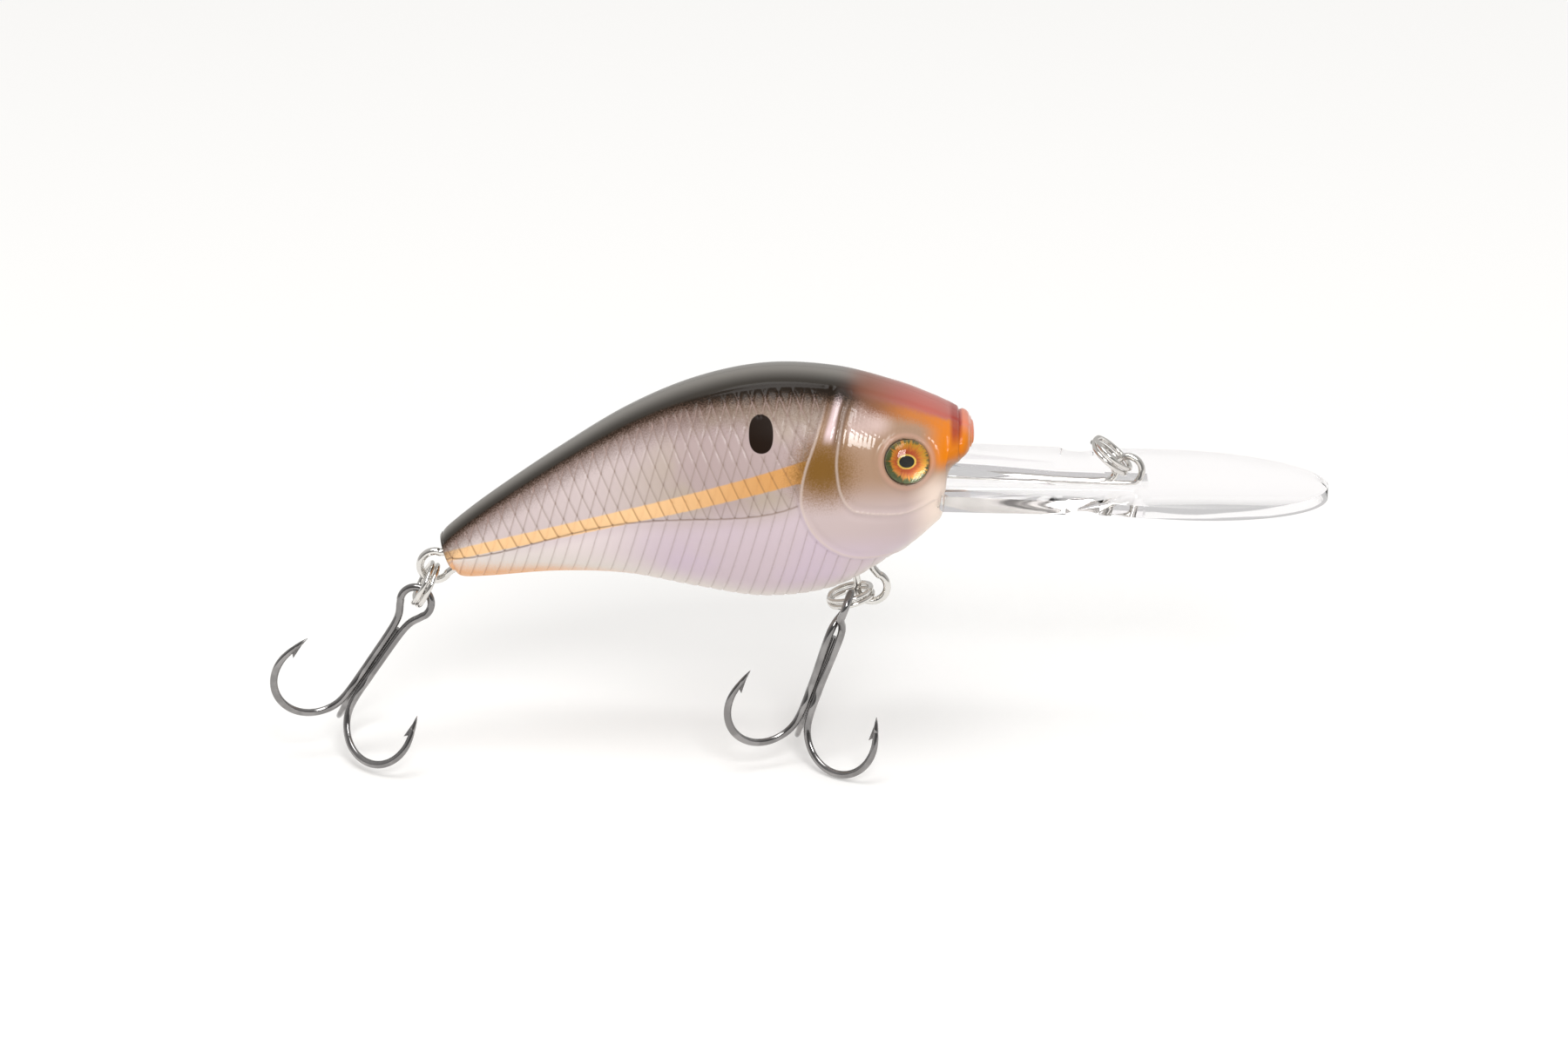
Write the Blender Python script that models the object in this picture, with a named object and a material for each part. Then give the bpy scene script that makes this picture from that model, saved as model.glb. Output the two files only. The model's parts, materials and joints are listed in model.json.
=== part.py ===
"""Deep-diving crankbait: a hollow two-shell body, a clear lip, wire hangers, split rings and trebles.

The lure is in its swimming attitude: +X forward along the lip, +Z up, Y across. The origin is the centre of
the line-tie loop. Metres. Pieces that touch on the real lure keep a small gap here.
"""

import math

import bmesh
import bpy
from mathutils import Matrix, Vector

MM = 0.001
GAP = 0.3 * MM  # between pieces that touch, and between the two halves
MERGE = 0.001 * MM  # points closer than this are one
OVERSHOOT = 3.0 * MM  # how far a cutter stands clear of what it cuts
OVERLAP = 1.0 * MM  # how far a piece is sunk in what it is joined to

# Body
BODY_LENGTH = 68.4 * MM
BODY_HEIGHT = 31.2 * MM
BODY_WIDTH = 22.4 * MM
SHELL_WALL = 1.3 * MM
SECTION_POWER = 2.15  # 2 is an ellipse, more is squarer
CHIN_TO_TIE = 22.9 * MM  # from the chin, where the lip comes out, forward to the line tie
NOSE_OVERHANG = 0.041  # how far the nose stands past the chin, as a share of the body's length

# Each row is a section of the body: back (distance from the nose, height), belly (distance, height), half
# width. Distances are shares of the length, heights shares of the height from the line tie's level.
SECTIONS = [
    (0.997, -0.285, 0.975, -0.426, 0.23),
    (0.981, -0.240, 0.959, -0.465, 0.28),
    (0.907, -0.109, 0.907, -0.465, 0.36),
    (0.777, 0.090, 0.777, -0.442, 0.54),
    (0.645, 0.271, 0.645, -0.452, 0.71),
    (0.515, 0.394, 0.515, -0.506, 0.86),
    (0.384, 0.453, 0.384, -0.546, 0.96),
    (0.253, 0.437, 0.253, -0.500, 1.00),
    (0.139, 0.368, 0.139, -0.349, 0.95),
    (0.073, 0.310, 0.073, -0.224, 0.86),
    (0.051, 0.288, 0.052, -0.160, 0.79),
    (0.041, 0.275, 0.043, 0.010, 0.70),
    (0.022, 0.253, 0.022, 0.070, 0.58),
    (0.008, 0.224, 0.008, 0.118, 0.44),
    (0.000, 0.192, 0.000, 0.150, 0.22),
]
STEPS_PER_SECTION = 2
POINTS_AROUND = 20
CAVITY_START = 1.6  # the hollow's first and last section, counted as rows of the table
CAVITY_END = 9.6

# Diving lip
LIP_ROOT_THICKNESS = 2.1 * MM
LIP_BLADE_THICKNESS = 1.6 * MM
LIP_TOP_AT_TIE = -1.0 * MM
LIP_PITCH = math.radians(2.5)
LIP_REACH = 25.7 * MM  # from the line tie to the lip's tip
NECK_WIDTH = 20.8 * MM
BLADE_WIDTH = 22.4 * MM
SCALLOP_CENTRE = -6.2 * MM
SCALLOP_RADIUS = 2.2 * MM
SCALLOP_DEPTH = 1.5 * MM
BLADE_START = 6.5 * MM  # where the blade starts to round off
BLADE_RELIEF = 0.1 * MM  # how much narrower the blade is between the scallops and there
TANG_WIDTH = 10.0 * MM
TANG_LENGTH = 10.0 * MM
TANG_CORNER = 1.5 * MM
SHOULDER_SETBACK = 2.6 * MM  # how far the lip's full width runs back past the chin
GUSSET_WIDTH = 4.0 * MM
GUSSET_HEIGHT = 1.9 * MM
GUSSET_LENGTH = 13.5 * MM
GUSSET_SPREAD = 8.6 * MM  # the gusset's width where it runs out into the lip
GUSSET_LIP = 0.05 * MM  # how far its front edge stands above the lip

# Line tie
TIE_WIRE = 0.9 * MM
TIE_LOOP_RADIUS = 1.75 * MM
TIE_LEG_SPACING = 1.5 * MM
TIE_LEG_DEPTH = 1.1 * MM  # the legs' centre under the lip's top
TIE_LEG_SETBACK = 2.0 * MM  # the legs' ends short of the tang's end

# Hanger wires: where each loop is, how big, and which way its legs run into the body
HANGER_WIRE = 1.0 * MM
HANGER_LOOP_RADIUS = 1.95 * MM
HANGER_NECK = 2.4 * MM  # between the two legs' centres
HANGER_LEG = 7.0 * MM
HANGER_SPLAY = 1.0 * MM  # how far each leg's end stands outside its neck, so that it can't pull out
BELLY_HANGER_ALONG = 0.201  # on the belly line, as a share of the length
BELLY_HANGER_LEAN = math.radians(115)
BELLY_HANGER_STAND = 2.5 * MM  # the loop's centre out from the body
SEAT_MARGIN = 0.8 * MM  # plastic round a hanger's legs, in their plane
SEAT_WALL = 1.2 * MM  # plastic each side of them
TAIL_HANGER_SHARE = 0.80  # down the tail's end wall, from the back
TAIL_HANGER_LEAN = math.radians(20)
TAIL_HANGER_STAND = 2.1 * MM

# Split rings: wire wound twice round
RING_WIRE = 0.66 * MM
RING_RADIUS = 2.87 * MM
RING_PITCH = 0.78 * MM
RING_TURNS = 1.93
LINE_RING_ANGLE = math.radians(139)  # from +X towards +Z, the way the ring leans from its tie
BELLY_RING_ANGLE = math.radians(195)
TAIL_RING_ANGLE = math.radians(243)
BELLY_RING_DROP = 0.4 * MM  # the ring sits low in its loop
BELLY_TREBLE_ROUND = math.radians(80)  # round the ring, from its far end to the near side

# Treble hooks
HOOK_WIRE = 1.0 * MM
HOOK_EYE_RADIUS = 2.05 * MM
HOOK_NECK = 3.7 * MM  # from the eye's centre to where the wires meet
HOOK_NECK_OPENING = 0.15 * MM  # how far each wire still stands off the other at the neck
HOOK_SHANK_SPACING = 1.1 * MM
HOOK_SPREAD = math.radians(60)  # each side hook, from straight away from the third
HOOK_FORK = 12.5 * MM  # from the eye's centre to where the hooks part
HOOK_BEND_START = 15.6 * MM
HOOK_FLARE = math.radians(3)
HOOK_BEND_RADIUS = 5.3 * MM
HOOK_BEND_SWEEP = math.radians(197)
HOOK_POINT_LENGTH = 2.9 * MM
HOOK_BEND_STEPS = 10
THIRD_SHANK_OFFSET = 1.27 * MM
BELLY_TREBLE_LEAN = math.radians(250.8)  # from +X towards +Z, the way the shank hangs
TAIL_TREBLE_LEAN = math.radians(236.4)
BELLY_TREBLE_DROP = 0.6 * MM  # the treble's eye hangs this far down its ring's wire
THIRD_HOOK_DIP = math.radians(20)  # the third hooks point across the lure and this much down

# Eyes
EYE_ALONG = 0.118
EYE_HEIGHT = 4.7 * MM
EYE_SOCKET_RADIUS = 3.15 * MM
EYE_SOCKET_DEPTH = 1.5 * MM
IRIS_THICKNESS = 0.4 * MM
LENS_RIM = 0.6 * MM
LENS_CROWN = 0.95 * MM

# Inside the body
BOSS_RADIUS = 1.9 * MM
PIN_RADIUS = 0.8 * MM
PIN_LENGTH = 1.6 * MM
GLUE_BOSSES = [(0.23, 0.24), (0.56, 0.22), (0.80, -0.18)]  # shares of the length and of the height
KEEL_RADIUS = 2.6 * MM
KEEL_LENGTH = 13.0 * MM
KEEL_ALONG = 0.40
KEEL_BEVEL = 0.6 * MM
KEEL_STAND = 0.8 * MM  # the bed's floor over the shell's inner wall
KEEL_RIB = 1.2 * MM
KEEL_RIB_SPACING = 7.8 * MM
KEEL_RIB_HEIGHT = 1.56 * MM  # over the weight's middle
NOSE_WEIGHT_RADIUS = 2.0 * MM
NOSE_WEIGHT_LENGTH = 9.0 * MM
NOSE_WEIGHT_BEVEL = 0.4 * MM
NOSE_WEIGHT_ALONG = 0.155
NOSE_WEIGHT_HEIGHT = -0.205
BALL_RADIUS = 2.0 * MM
BALL_LANE_CLEARANCE = 0.4 * MM
LANE_WALL = 1.0 * MM
BALL_LANES = [(0.42, 0.12), (0.58, -0.05)]

NOSE_X = -CHIN_TO_TIE + NOSE_OVERHANG * BODY_LENGTH
CHIN_X = -CHIN_TO_TIE


def clear_scene():
    for obj in list(bpy.data.objects):
        bpy.data.objects.remove(obj, do_unlink=True)


def make_material(name, colour, roughness, metallic=0.0, alpha=1.0):
    material = bpy.data.materials.new(name)
    material.use_nodes = True
    shader = material.node_tree.nodes["Principled BSDF"]
    shader.inputs["Base Color"].default_value = (*colour, 1.0)
    shader.inputs["Roughness"].default_value = roughness
    shader.inputs["Metallic"].default_value = metallic
    shader.inputs["Alpha"].default_value = alpha
    return material


def add_object(name, mesh, material=None, origin=Vector()):
    """Links the mesh, given in world space, as an object whose own origin is at the given point."""
    mesh.transform(Matrix.Translation(-origin))
    obj = bpy.data.objects.new(name, mesh)
    obj.location = origin
    bpy.context.scene.collection.objects.link(obj)
    if material:
        mesh.materials.append(material)
        mesh.shade_smooth()
        mesh.set_sharp_from_angle(angle=math.radians(40))
    return obj


def add_cutter(name, mesh):
    cutter = add_object(name, mesh)
    cutter.hide_render = True
    cutter.display_type = "WIRE"
    return cutter


def combine(obj, cutter, operation):
    """Applies a Boolean at once, leaves triangles with no doubled points, and drops the cutter."""
    modifier = obj.modifiers.new(operation.lower(), "BOOLEAN")
    modifier.operation = operation
    modifier.object = cutter
    modifier.solver = "EXACT"
    bm = bmesh.new()
    bm.from_object(obj, bpy.context.evaluated_depsgraph_get())
    obj.modifiers.remove(modifier)
    bmesh.ops.remove_doubles(bm, verts=bm.verts, dist=MERGE)
    bmesh.ops.dissolve_degenerate(bm, edges=bm.edges, dist=MERGE)
    bmesh.ops.triangulate(bm, faces=bm.faces)
    bm.to_mesh(obj.data)
    bm.free()
    bpy.data.objects.remove(cutter)


def finish_mesh(name, bm):
    bm.normal_update()
    bmesh.ops.recalc_face_normals(bm, faces=bm.faces)
    mesh = bpy.data.meshes.new(name)
    bm.to_mesh(mesh)
    bm.free()
    return mesh


def smooth_path(points, steps):
    """Points of a Catmull-Rom curve through the given ones."""
    ends = [2 * points[0] - points[1], *points, 2 * points[-1] - points[-2]]
    path = []
    for before, start, end, after in zip(ends, ends[1:], ends[2:], ends[3:]):
        for step in range(steps):
            t = step / steps
            path.append(0.5 * (2 * start + (end - before) * t
                               + (2 * before - 5 * start + 4 * end - after) * t**2
                               + (3 * start - before - 3 * end + after) * t**3))
    return [*path, points[-1].copy()]


def tube_mesh(name, path, radii, sides=6):
    """A closed tube along the path. One radius does for the whole path, or there is one for each point."""
    if not isinstance(radii, list):
        radii = [radii] * len(path)
    bm = bmesh.new()
    tangent = (path[1] - path[0]).normalized()
    across = tangent.orthogonal().normalized()
    rings = []
    for index, (point, radius) in enumerate(zip(path, radii)):
        ahead = path[min(index + 1, len(path) - 1)] - path[max(index - 1, 0)]
        across = tangent.rotation_difference(ahead) @ across
        tangent = ahead.normalized()
        turns = [Matrix.Rotation(math.tau * side / sides, 3, tangent) for side in range(sides)]
        rings.append([bm.verts.new(point + radius * (turn @ across)) for turn in turns])
    for ring, following in zip(rings, rings[1:]):
        for side in range(sides):
            after = (side + 1) % sides
            bm.faces.new((ring[side], ring[after], following[after], following[side]))
    bm.faces.new(rings[0])
    bm.faces.new(rings[-1])
    return finish_mesh(name, bm)


def turned_mesh(name, outline, place, sides):
    """Turns an outline of (radius, height) points, from axis to axis, about the placed Z axis."""
    bm = bmesh.new()
    rings = []
    for radius, height in outline:
        if radius == 0:
            rings.append([bm.verts.new((0, 0, height))] * sides)
        else:
            angles = [math.tau * side / sides for side in range(sides)]
            rings.append([bm.verts.new((radius * math.cos(a), radius * math.sin(a), height)) for a in angles])
    for ring, following in zip(rings, rings[1:]):
        for side in range(sides):
            after = (side + 1) % sides
            corners = (ring[side], ring[after], following[after], following[side])
            bm.faces.new(list(dict.fromkeys(corners)))
    bm.transform(place)
    return finish_mesh(name, bm)


def rod_mesh(name, start, end, radius, sides=16, bevel=0.0):
    length = (end - start).length
    turn = (end - start).to_track_quat("Z", "Y").to_matrix().to_4x4()
    outline = [(0, 0), (radius - bevel, 0), (radius, bevel), (radius, length - bevel),
               (radius - bevel, length), (0, length)]
    if not bevel:
        outline = [(0, 0), (radius, 0), (radius, length), (0, length)]
    return turned_mesh(name, outline, Matrix.Translation(start) @ turn, sides)


def box_mesh(name, low, high):
    bm = bmesh.new()
    bmesh.ops.create_cube(bm, size=1)
    size = high - low
    bm.transform(Matrix.Translation((low + high) / 2) @ Matrix.Diagonal((*size, 1)))
    return finish_mesh(name, bm)


# ---------------------------------------------------------------- the body's outline


def body_point(along, height):
    return Vector((NOSE_X - along * BODY_LENGTH, 0, height * BODY_HEIGHT))


def section_at(row):
    """(back, belly, half width) of the section at a row number of the table, whole or between two rows."""
    index = min(int(row), len(SECTIONS) - 2)
    share = row - index
    rows = [SECTIONS[min(max(index + shift, 0), len(SECTIONS) - 1)] for shift in (-1, 0, 1, 2)]
    before, start, end, after = [(body_point(a, b), body_point(c, d), Vector((w * BODY_WIDTH / 2, 0, 0)))
                                 for a, b, c, d, w in rows]
    mixed = []
    for p, q, r, s in zip(before, start, end, after):
        mixed.append(0.5 * (2 * q + (r - p) * share + (2 * p - 5 * q + 4 * r - s) * share**2
                            + (3 * q - p - 3 * r + s) * share**3))
    return mixed[0], mixed[1], mixed[2].x


def section_points(row, inset, count):
    back, belly, half_width = section_at(row)
    middle = (back + belly) / 2
    half_height = (back - belly) / 2
    half_height -= half_height.normalized() * inset
    points = []
    for step in range(count):
        angle = math.tau * step / count
        up, side = math.cos(angle), math.sin(angle)
        up = math.copysign(abs(up) ** (2 / SECTION_POWER), up)
        side = math.copysign(abs(side) ** (2 / SECTION_POWER), side)
        points.append(middle + half_height * up + Vector((0, -(half_width - inset) * side, 0)))
    return points


def body_mesh(name, inset, first, last):
    """The body's shape, set in by the inset, between two rows of the section table."""
    bm = bmesh.new()
    count = max(2, round((last - first) * STEPS_PER_SECTION))
    rows = [first + (last - first) * step / count for step in range(count + 1)]
    rings = [[bm.verts.new(point) for point in section_points(row, inset, POINTS_AROUND)] for row in rows]
    for ring, following in zip(rings, rings[1:]):
        for side in range(POINTS_AROUND):
            after = (side + 1) % POINTS_AROUND
            bm.faces.new((ring[side], ring[after], following[after], following[side]))
    bm.faces.new(rings[0])
    bm.faces.new(rings[-1])
    return finish_mesh(name, bm)


def row_at(along):
    """The row number of the section whose middle is at this share of the length."""
    low, high = 0.0, len(SECTIONS) - 1.0
    target = NOSE_X - along * BODY_LENGTH
    for _ in range(40):
        row = (low + high) / 2
        back, belly, _ = section_at(row)
        if (back.x + belly.x) / 2 < target:
            low = row
        else:
            high = row
    return low


def flank_point(along, height, side):
    """The point of the body's surface at this share of the length and height in metres, on one side."""
    back, belly, half_width = section_at(row_at(along))
    middle = (back.z + belly.z) / 2
    share = min(abs(height - middle) / ((back.z - belly.z) / 2), 1.0)
    width = half_width * (1 - share**SECTION_POWER) ** (1 / SECTION_POWER)
    return Vector((NOSE_X - along * BODY_LENGTH, side * width, height))


def flank_normal(along, height, side):
    step = 0.5 * MM
    forward = flank_point(along - step / BODY_LENGTH, height, side)
    forward -= flank_point(along + step / BODY_LENGTH, height, side)
    upward = flank_point(along, height + step, side) - flank_point(along, height - step, side)
    normal = forward.cross(upward)
    return (normal * math.copysign(1, normal.y * side)).normalized()


# ---------------------------------------------------------------- wires and rings


def in_plane(angle):
    """The direction at this angle from +X towards +Z."""
    return Vector((math.cos(angle), 0, math.sin(angle)))


def hanger_path(centre, lean):
    """A loop with two legs that run off along the lean and splay, all in the parting plane."""
    away, across = in_plane(lean), in_plane(lean - math.pi / 2)
    half_neck = HANGER_NECK / 2
    foot = 1.4 * HANGER_LOOP_RADIUS
    leg = [centre + across * (half_neck + HANGER_SPLAY) + away * HANGER_LEG,
           centre + across * (half_neck + HANGER_SPLAY / 2) + away * (HANGER_LEG + foot) / 2,
           centre + across * half_neck + away * foot]
    points = list(leg)
    arc_start = math.radians(48)
    for step in range(11):
        angle = arc_start + (math.tau - 2 * arc_start) * step / 10
        points.append(centre + HANGER_LOOP_RADIUS * (away * math.cos(angle) + across * math.sin(angle)))
    for point in reversed(leg):
        offset = (point - centre).dot(across)
        points.append(point - 2 * offset * across)
    return smooth_path(points, 2)


def ring_path(pivot, angle):
    """The wound wire of a split ring whose near end holds the pivot and that leans along the angle."""
    lean = in_plane(angle)
    axis = in_plane(angle + math.pi / 2)
    side = Vector((0, -1, 0))
    centre = pivot + lean * RING_RADIUS
    steps = round(RING_TURNS * 20)
    path = []
    for step in range(steps + 1):
        turn = math.tau * RING_TURNS * (step / steps - 0.5)
        rise = RING_PITCH * max(-0.5, min(0.5, turn / math.radians(60)))
        path.append(centre + RING_RADIUS * (lean * math.cos(turn) + side * math.sin(turn)) + axis * rise)
    return path


def hook_profile():
    """(distance along the shank, distance out from its centre line) of one hook, from fork to point."""
    out = HOOK_SHANK_SPACING / 2
    bend_out = out + (HOOK_BEND_START - HOOK_FORK) * math.tan(HOOK_FLARE)
    points = [(HOOK_FORK, out), ((HOOK_FORK + HOOK_BEND_START) / 2, (out + bend_out) / 2)]
    centre = (HOOK_BEND_START - HOOK_BEND_RADIUS * math.sin(HOOK_FLARE),
              bend_out + HOOK_BEND_RADIUS * math.cos(HOOK_FLARE))
    for step in range(HOOK_BEND_STEPS + 1):
        angle = HOOK_FLARE + HOOK_BEND_SWEEP * step / HOOK_BEND_STEPS
        points.append((centre[0] + HOOK_BEND_RADIUS * math.sin(angle),
                       centre[1] - HOOK_BEND_RADIUS * math.cos(angle)))
    tip_angle = HOOK_FLARE + HOOK_BEND_SWEEP
    bend_end = points[-1]
    for share in (0.4, 0.75, 1.0):
        points.append((bend_end[0] + share * HOOK_POINT_LENGTH * math.cos(tip_angle),
                       bend_end[1] + share * HOOK_POINT_LENGTH * math.sin(tip_angle)))
    return points


def hook_radii(count, tapered):
    """The wire's radius at each point, running down to a sharp tip over the last ones."""
    radii = [HOOK_WIRE / 2] * count
    for step in range(tapered):
        radii[count - 1 - step] = HOOK_WIRE / 2 * (0.08 + 0.92 * (step / tapered) ** 0.7)
    return radii


def treble_place(eye, lean, eye_turn):
    """Local Z runs down the shank and local Y is the way the third hook points."""
    down = in_plane(lean)
    dipped = Vector((0, math.cos(THIRD_HOOK_DIP), -math.sin(THIRD_HOOK_DIP)))
    away = (dipped - dipped.project(down)).normalized()
    across = away.cross(down)
    turn = Matrix((across, away, down)).transposed().to_4x4()
    return Matrix.Translation(eye) @ turn, Matrix.Rotation(eye_turn, 3, "Z")


def double_hook_mesh(name, place, eye_turn):
    """One wire: point, bend, shank, round the eye, and back down to the other point."""
    half = HOOK_SHANK_SPACING / 2
    fork, *bend = hook_profile()
    side = []
    for along, out in reversed(bend):
        side.append(Vector((out * math.sin(HOOK_SPREAD), -out * math.cos(HOOK_SPREAD), along)))
    side += [Vector((half, 0, fork[0])), Vector((half, 0, HOOK_FORK * 0.75 + HOOK_NECK * 0.25)),
             Vector((half + HOOK_NECK_OPENING, 0, HOOK_NECK))]
    eye = []
    for step in range(9):
        angle = math.radians(-38 + 256 * step / 8)
        flat = Vector((math.cos(angle), 0, -math.sin(angle)))
        eye.append(HOOK_EYE_RADIUS * (eye_turn @ flat))
    other = [Vector((-point.x, point.y, point.z)) for point in reversed(side)]
    path = smooth_path([*side, *eye, *other], 2)
    tapered = 6
    radii = hook_radii(len(path), tapered)
    radii[:tapered] = reversed(radii[-tapered:])
    mesh = tube_mesh(name, path, radii)
    mesh.transform(place)
    return mesh


def third_hook_mesh(name, place):
    half = HOOK_SHANK_SPACING / 2
    points = [Vector((0, THIRD_SHANK_OFFSET, HOOK_NECK + HOOK_WIRE)),
              Vector((0, THIRD_SHANK_OFFSET, (HOOK_NECK + HOOK_FORK) / 2))]
    for along, out in hook_profile():
        points.append(Vector((0, out - half + THIRD_SHANK_OFFSET, along)))
    path = smooth_path(points, 2)
    mesh = tube_mesh(name, path, hook_radii(len(path), 6))
    mesh.transform(place)
    return mesh


# ---------------------------------------------------------------- the lip


def lip_top(x):
    return LIP_TOP_AT_TIE - math.tan(LIP_PITCH) * x


def lip_thickness(x):
    share = min(max((x - CHIN_X) / (0 - CHIN_X), 0), 1)
    return LIP_ROOT_THICKNESS + (LIP_BLADE_THICKNESS - LIP_ROOT_THICKNESS) * share


def lip_half_outline(grow=0.0):
    """(x, y) points of the lip's near edge, from the tang's end to the tip."""
    shoulder = CHIN_X - SHOULDER_SETBACK
    half_tang, half_neck, half_blade = TANG_WIDTH / 2, NECK_WIDTH / 2, BLADE_WIDTH / 2
    corner = TANG_CORNER
    points = [(shoulder - TANG_LENGTH - grow, 0),
              (shoulder - TANG_LENGTH - grow, half_tang - corner),
              (shoulder - TANG_LENGTH - grow + corner, half_tang + grow),
              (shoulder - grow, half_tang + grow),
              (shoulder + 0.35 * SHOULDER_SETBACK - grow, half_neck - corner),
              (shoulder + 0.6 * SHOULDER_SETBACK - grow, half_neck + grow)]
    for step in range(7):
        angle = math.pi * step / 6
        dip = SCALLOP_DEPTH * math.sin(angle)
        points.append((SCALLOP_CENTRE - SCALLOP_RADIUS * math.cos(angle), half_neck - dip + grow))
    points.append((BLADE_START * 0.35, half_blade - BLADE_RELIEF + grow))
    for step in range(13):
        angle = math.pi / 2 * step / 12
        points.append((BLADE_START + (LIP_REACH - BLADE_START + grow) * math.sin(angle),
                       (half_blade + grow) * math.cos(angle)))
    return points


def lip_mesh(name, grow=0.0):
    """The lip's plate, tapering from its root to its blade. The last point of the half outline is the tip."""
    half = lip_half_outline(grow)
    outline = half[:-1] + [(half[-1][0], 0)] + [(x, -y) for x, y in reversed(half[1:-1])]
    bm = bmesh.new()
    top = [bm.verts.new((x, y, lip_top(x) + grow)) for x, y in outline]
    bottom = [bm.verts.new((x, y, lip_top(x) - lip_thickness(x) - grow)) for x, y in outline]
    bm.faces.new(top)
    bm.faces.new(bottom)
    for index, corner in enumerate(top):
        after = (index + 1) % len(top)
        bm.faces.new((corner, top[after], bottom[after], bottom[index]))
    bmesh.ops.triangulate(bm, faces=bm.faces)
    return finish_mesh(name, bm)


def gusset_mesh(name, grow=0.0):
    """The wedge on the lip's top that stiffens its root."""
    rear, front = CHIN_X - SHOULDER_SETBACK, CHIN_X + GUSSET_LENGTH
    base = 0.5 * LIP_ROOT_THICKNESS
    half_rear, half_front = GUSSET_WIDTH / 2 + grow, GUSSET_SPREAD / 2 + grow
    bm = bmesh.new()
    corners = {}
    for side in (-1, 1):
        corners[side] = [bm.verts.new((rear, side * half_rear, lip_top(rear) - base)),
                         bm.verts.new((front, side * half_front, lip_top(front) - base)),
                         bm.verts.new((front, side * half_front, lip_top(front) + GUSSET_LIP)),
                         bm.verts.new((rear, side * half_rear, lip_top(rear) + GUSSET_HEIGHT + grow))]
        bm.faces.new(corners[side])
    for index in range(4):
        after = (index + 1) % 4
        bm.faces.new((corners[-1][index], corners[-1][after], corners[1][after], corners[1][index]))
    return finish_mesh(name, bm)


def tie_path():
    """From the end of one leg forward through the lip, up round the loop, and back along the other leg."""
    rear = CHIN_X - SHOULDER_SETBACK - TANG_LENGTH + TIE_LEG_SETBACK
    half = TIE_LEG_SPACING / 2
    leg = []
    for x in (rear, (rear + CHIN_X) / 2, CHIN_X, CHIN_X / 2, -2.2 * TIE_LOOP_RADIUS):
        leg.append(Vector((x, -half, lip_top(x) - TIE_LEG_DEPTH)))
    front_foot = Vector((0.2 * TIE_LOOP_RADIUS, -half, -TIE_LOOP_RADIUS - 0.25 * TIE_WIRE))
    rear_foot = Vector((-1.25 * TIE_LOOP_RADIUS, half, -0.9 * TIE_LOOP_RADIUS))
    loop = []
    for step in range(9):
        angle = math.radians(-45 + 250 * step / 8)
        sideways = half * (step / 4 - 1)
        loop.append(TIE_LOOP_RADIUS * in_plane(angle) + Vector((0, sideways, 0)))
    other = [Vector((point.x, half, point.z)) for point in reversed(leg)]
    return smooth_path([*leg, front_foot, *loop, rear_foot, *other], 2)


# ---------------------------------------------------------------- building


def build_lip(clear):
    lip = add_object("diving_lip", lip_mesh("diving_lip"), clear)
    combine(lip, add_cutter("gusset", gusset_mesh("gusset")), "UNION")
    rear = CHIN_X - SHOULDER_SETBACK - TANG_LENGTH
    half_slot = TIE_LEG_SPACING / 2 + TIE_WIRE / 2 + GAP
    roof = -TIE_LEG_DEPTH + TIE_WIRE / 2 + GAP
    # A groove up from the underside takes the wire's legs, and a slot right through lets the loop stand up.
    bm = bmesh.new()
    bmesh.ops.create_cube(bm, size=1)
    for vert in bm.verts:
        x = rear - OVERSHOOT if vert.co.x < 0 else TIE_LOOP_RADIUS
        z = lip_top(x) + (roof if vert.co.z > 0 else -3.0 * LIP_ROOT_THICKNESS)
        vert.co = (x, math.copysign(half_slot, vert.co.y), z)
    combine(lip, add_cutter("leg_groove", finish_mesh("leg_groove", bm)), "DIFFERENCE")
    reach = TIE_LOOP_RADIUS * 1.25 + TIE_WIRE / 2 + GAP
    through = LIP_ROOT_THICKNESS + OVERSHOOT
    slot = box_mesh("tie_slot", Vector((-reach, -half_slot, LIP_TOP_AT_TIE - through)),
                    Vector((TIE_LOOP_RADIUS + TIE_WIRE / 2 + GAP, half_slot, LIP_TOP_AT_TIE + through)))
    combine(lip, add_cutter("tie_slot", slot), "DIFFERENCE")
    return lip


def hanger_places():
    """Where each hanger's loop centre is and which way its legs run."""
    belly = section_at(row_at(BELLY_HANGER_ALONG))[1]
    belly_centre = belly - in_plane(BELLY_HANGER_LEAN) * BELLY_HANGER_STAND
    back, bottom, _ = section_at(0)
    wall = back.lerp(bottom, TAIL_HANGER_SHARE)
    tail_centre = wall - in_plane(TAIL_HANGER_LEAN) * TAIL_HANGER_STAND
    return {"belly": (belly_centre, BELLY_HANGER_LEAN), "tail": (tail_centre, TAIL_HANGER_LEAN)}


def eye_place(side):
    """The eye's frame: origin on the flank's surface, Z out of it."""
    seat = flank_point(EYE_ALONG, EYE_HEIGHT, side)
    normal = flank_normal(EYE_ALONG, EYE_HEIGHT, side)
    return Matrix.Translation(seat) @ normal.to_track_quat("Z", "X").to_matrix().to_4x4()


def build_cavity(features):
    """The hollow, less the bosses, ribs, lanes and seats that stay solid in it."""
    cavity = add_cutter("cavity", body_mesh("cavity", SHELL_WALL, CAVITY_START, CAVITY_END))
    for name, mesh in features.items():
        combine(cavity, add_cutter(name, mesh), "DIFFERENCE")
    return cavity


def across_rod(name, point, half_length, radius, sides=16):
    reach = Vector((0, half_length, 0))
    return rod_mesh(name, point - reach, point + reach, radius, sides)


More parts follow.
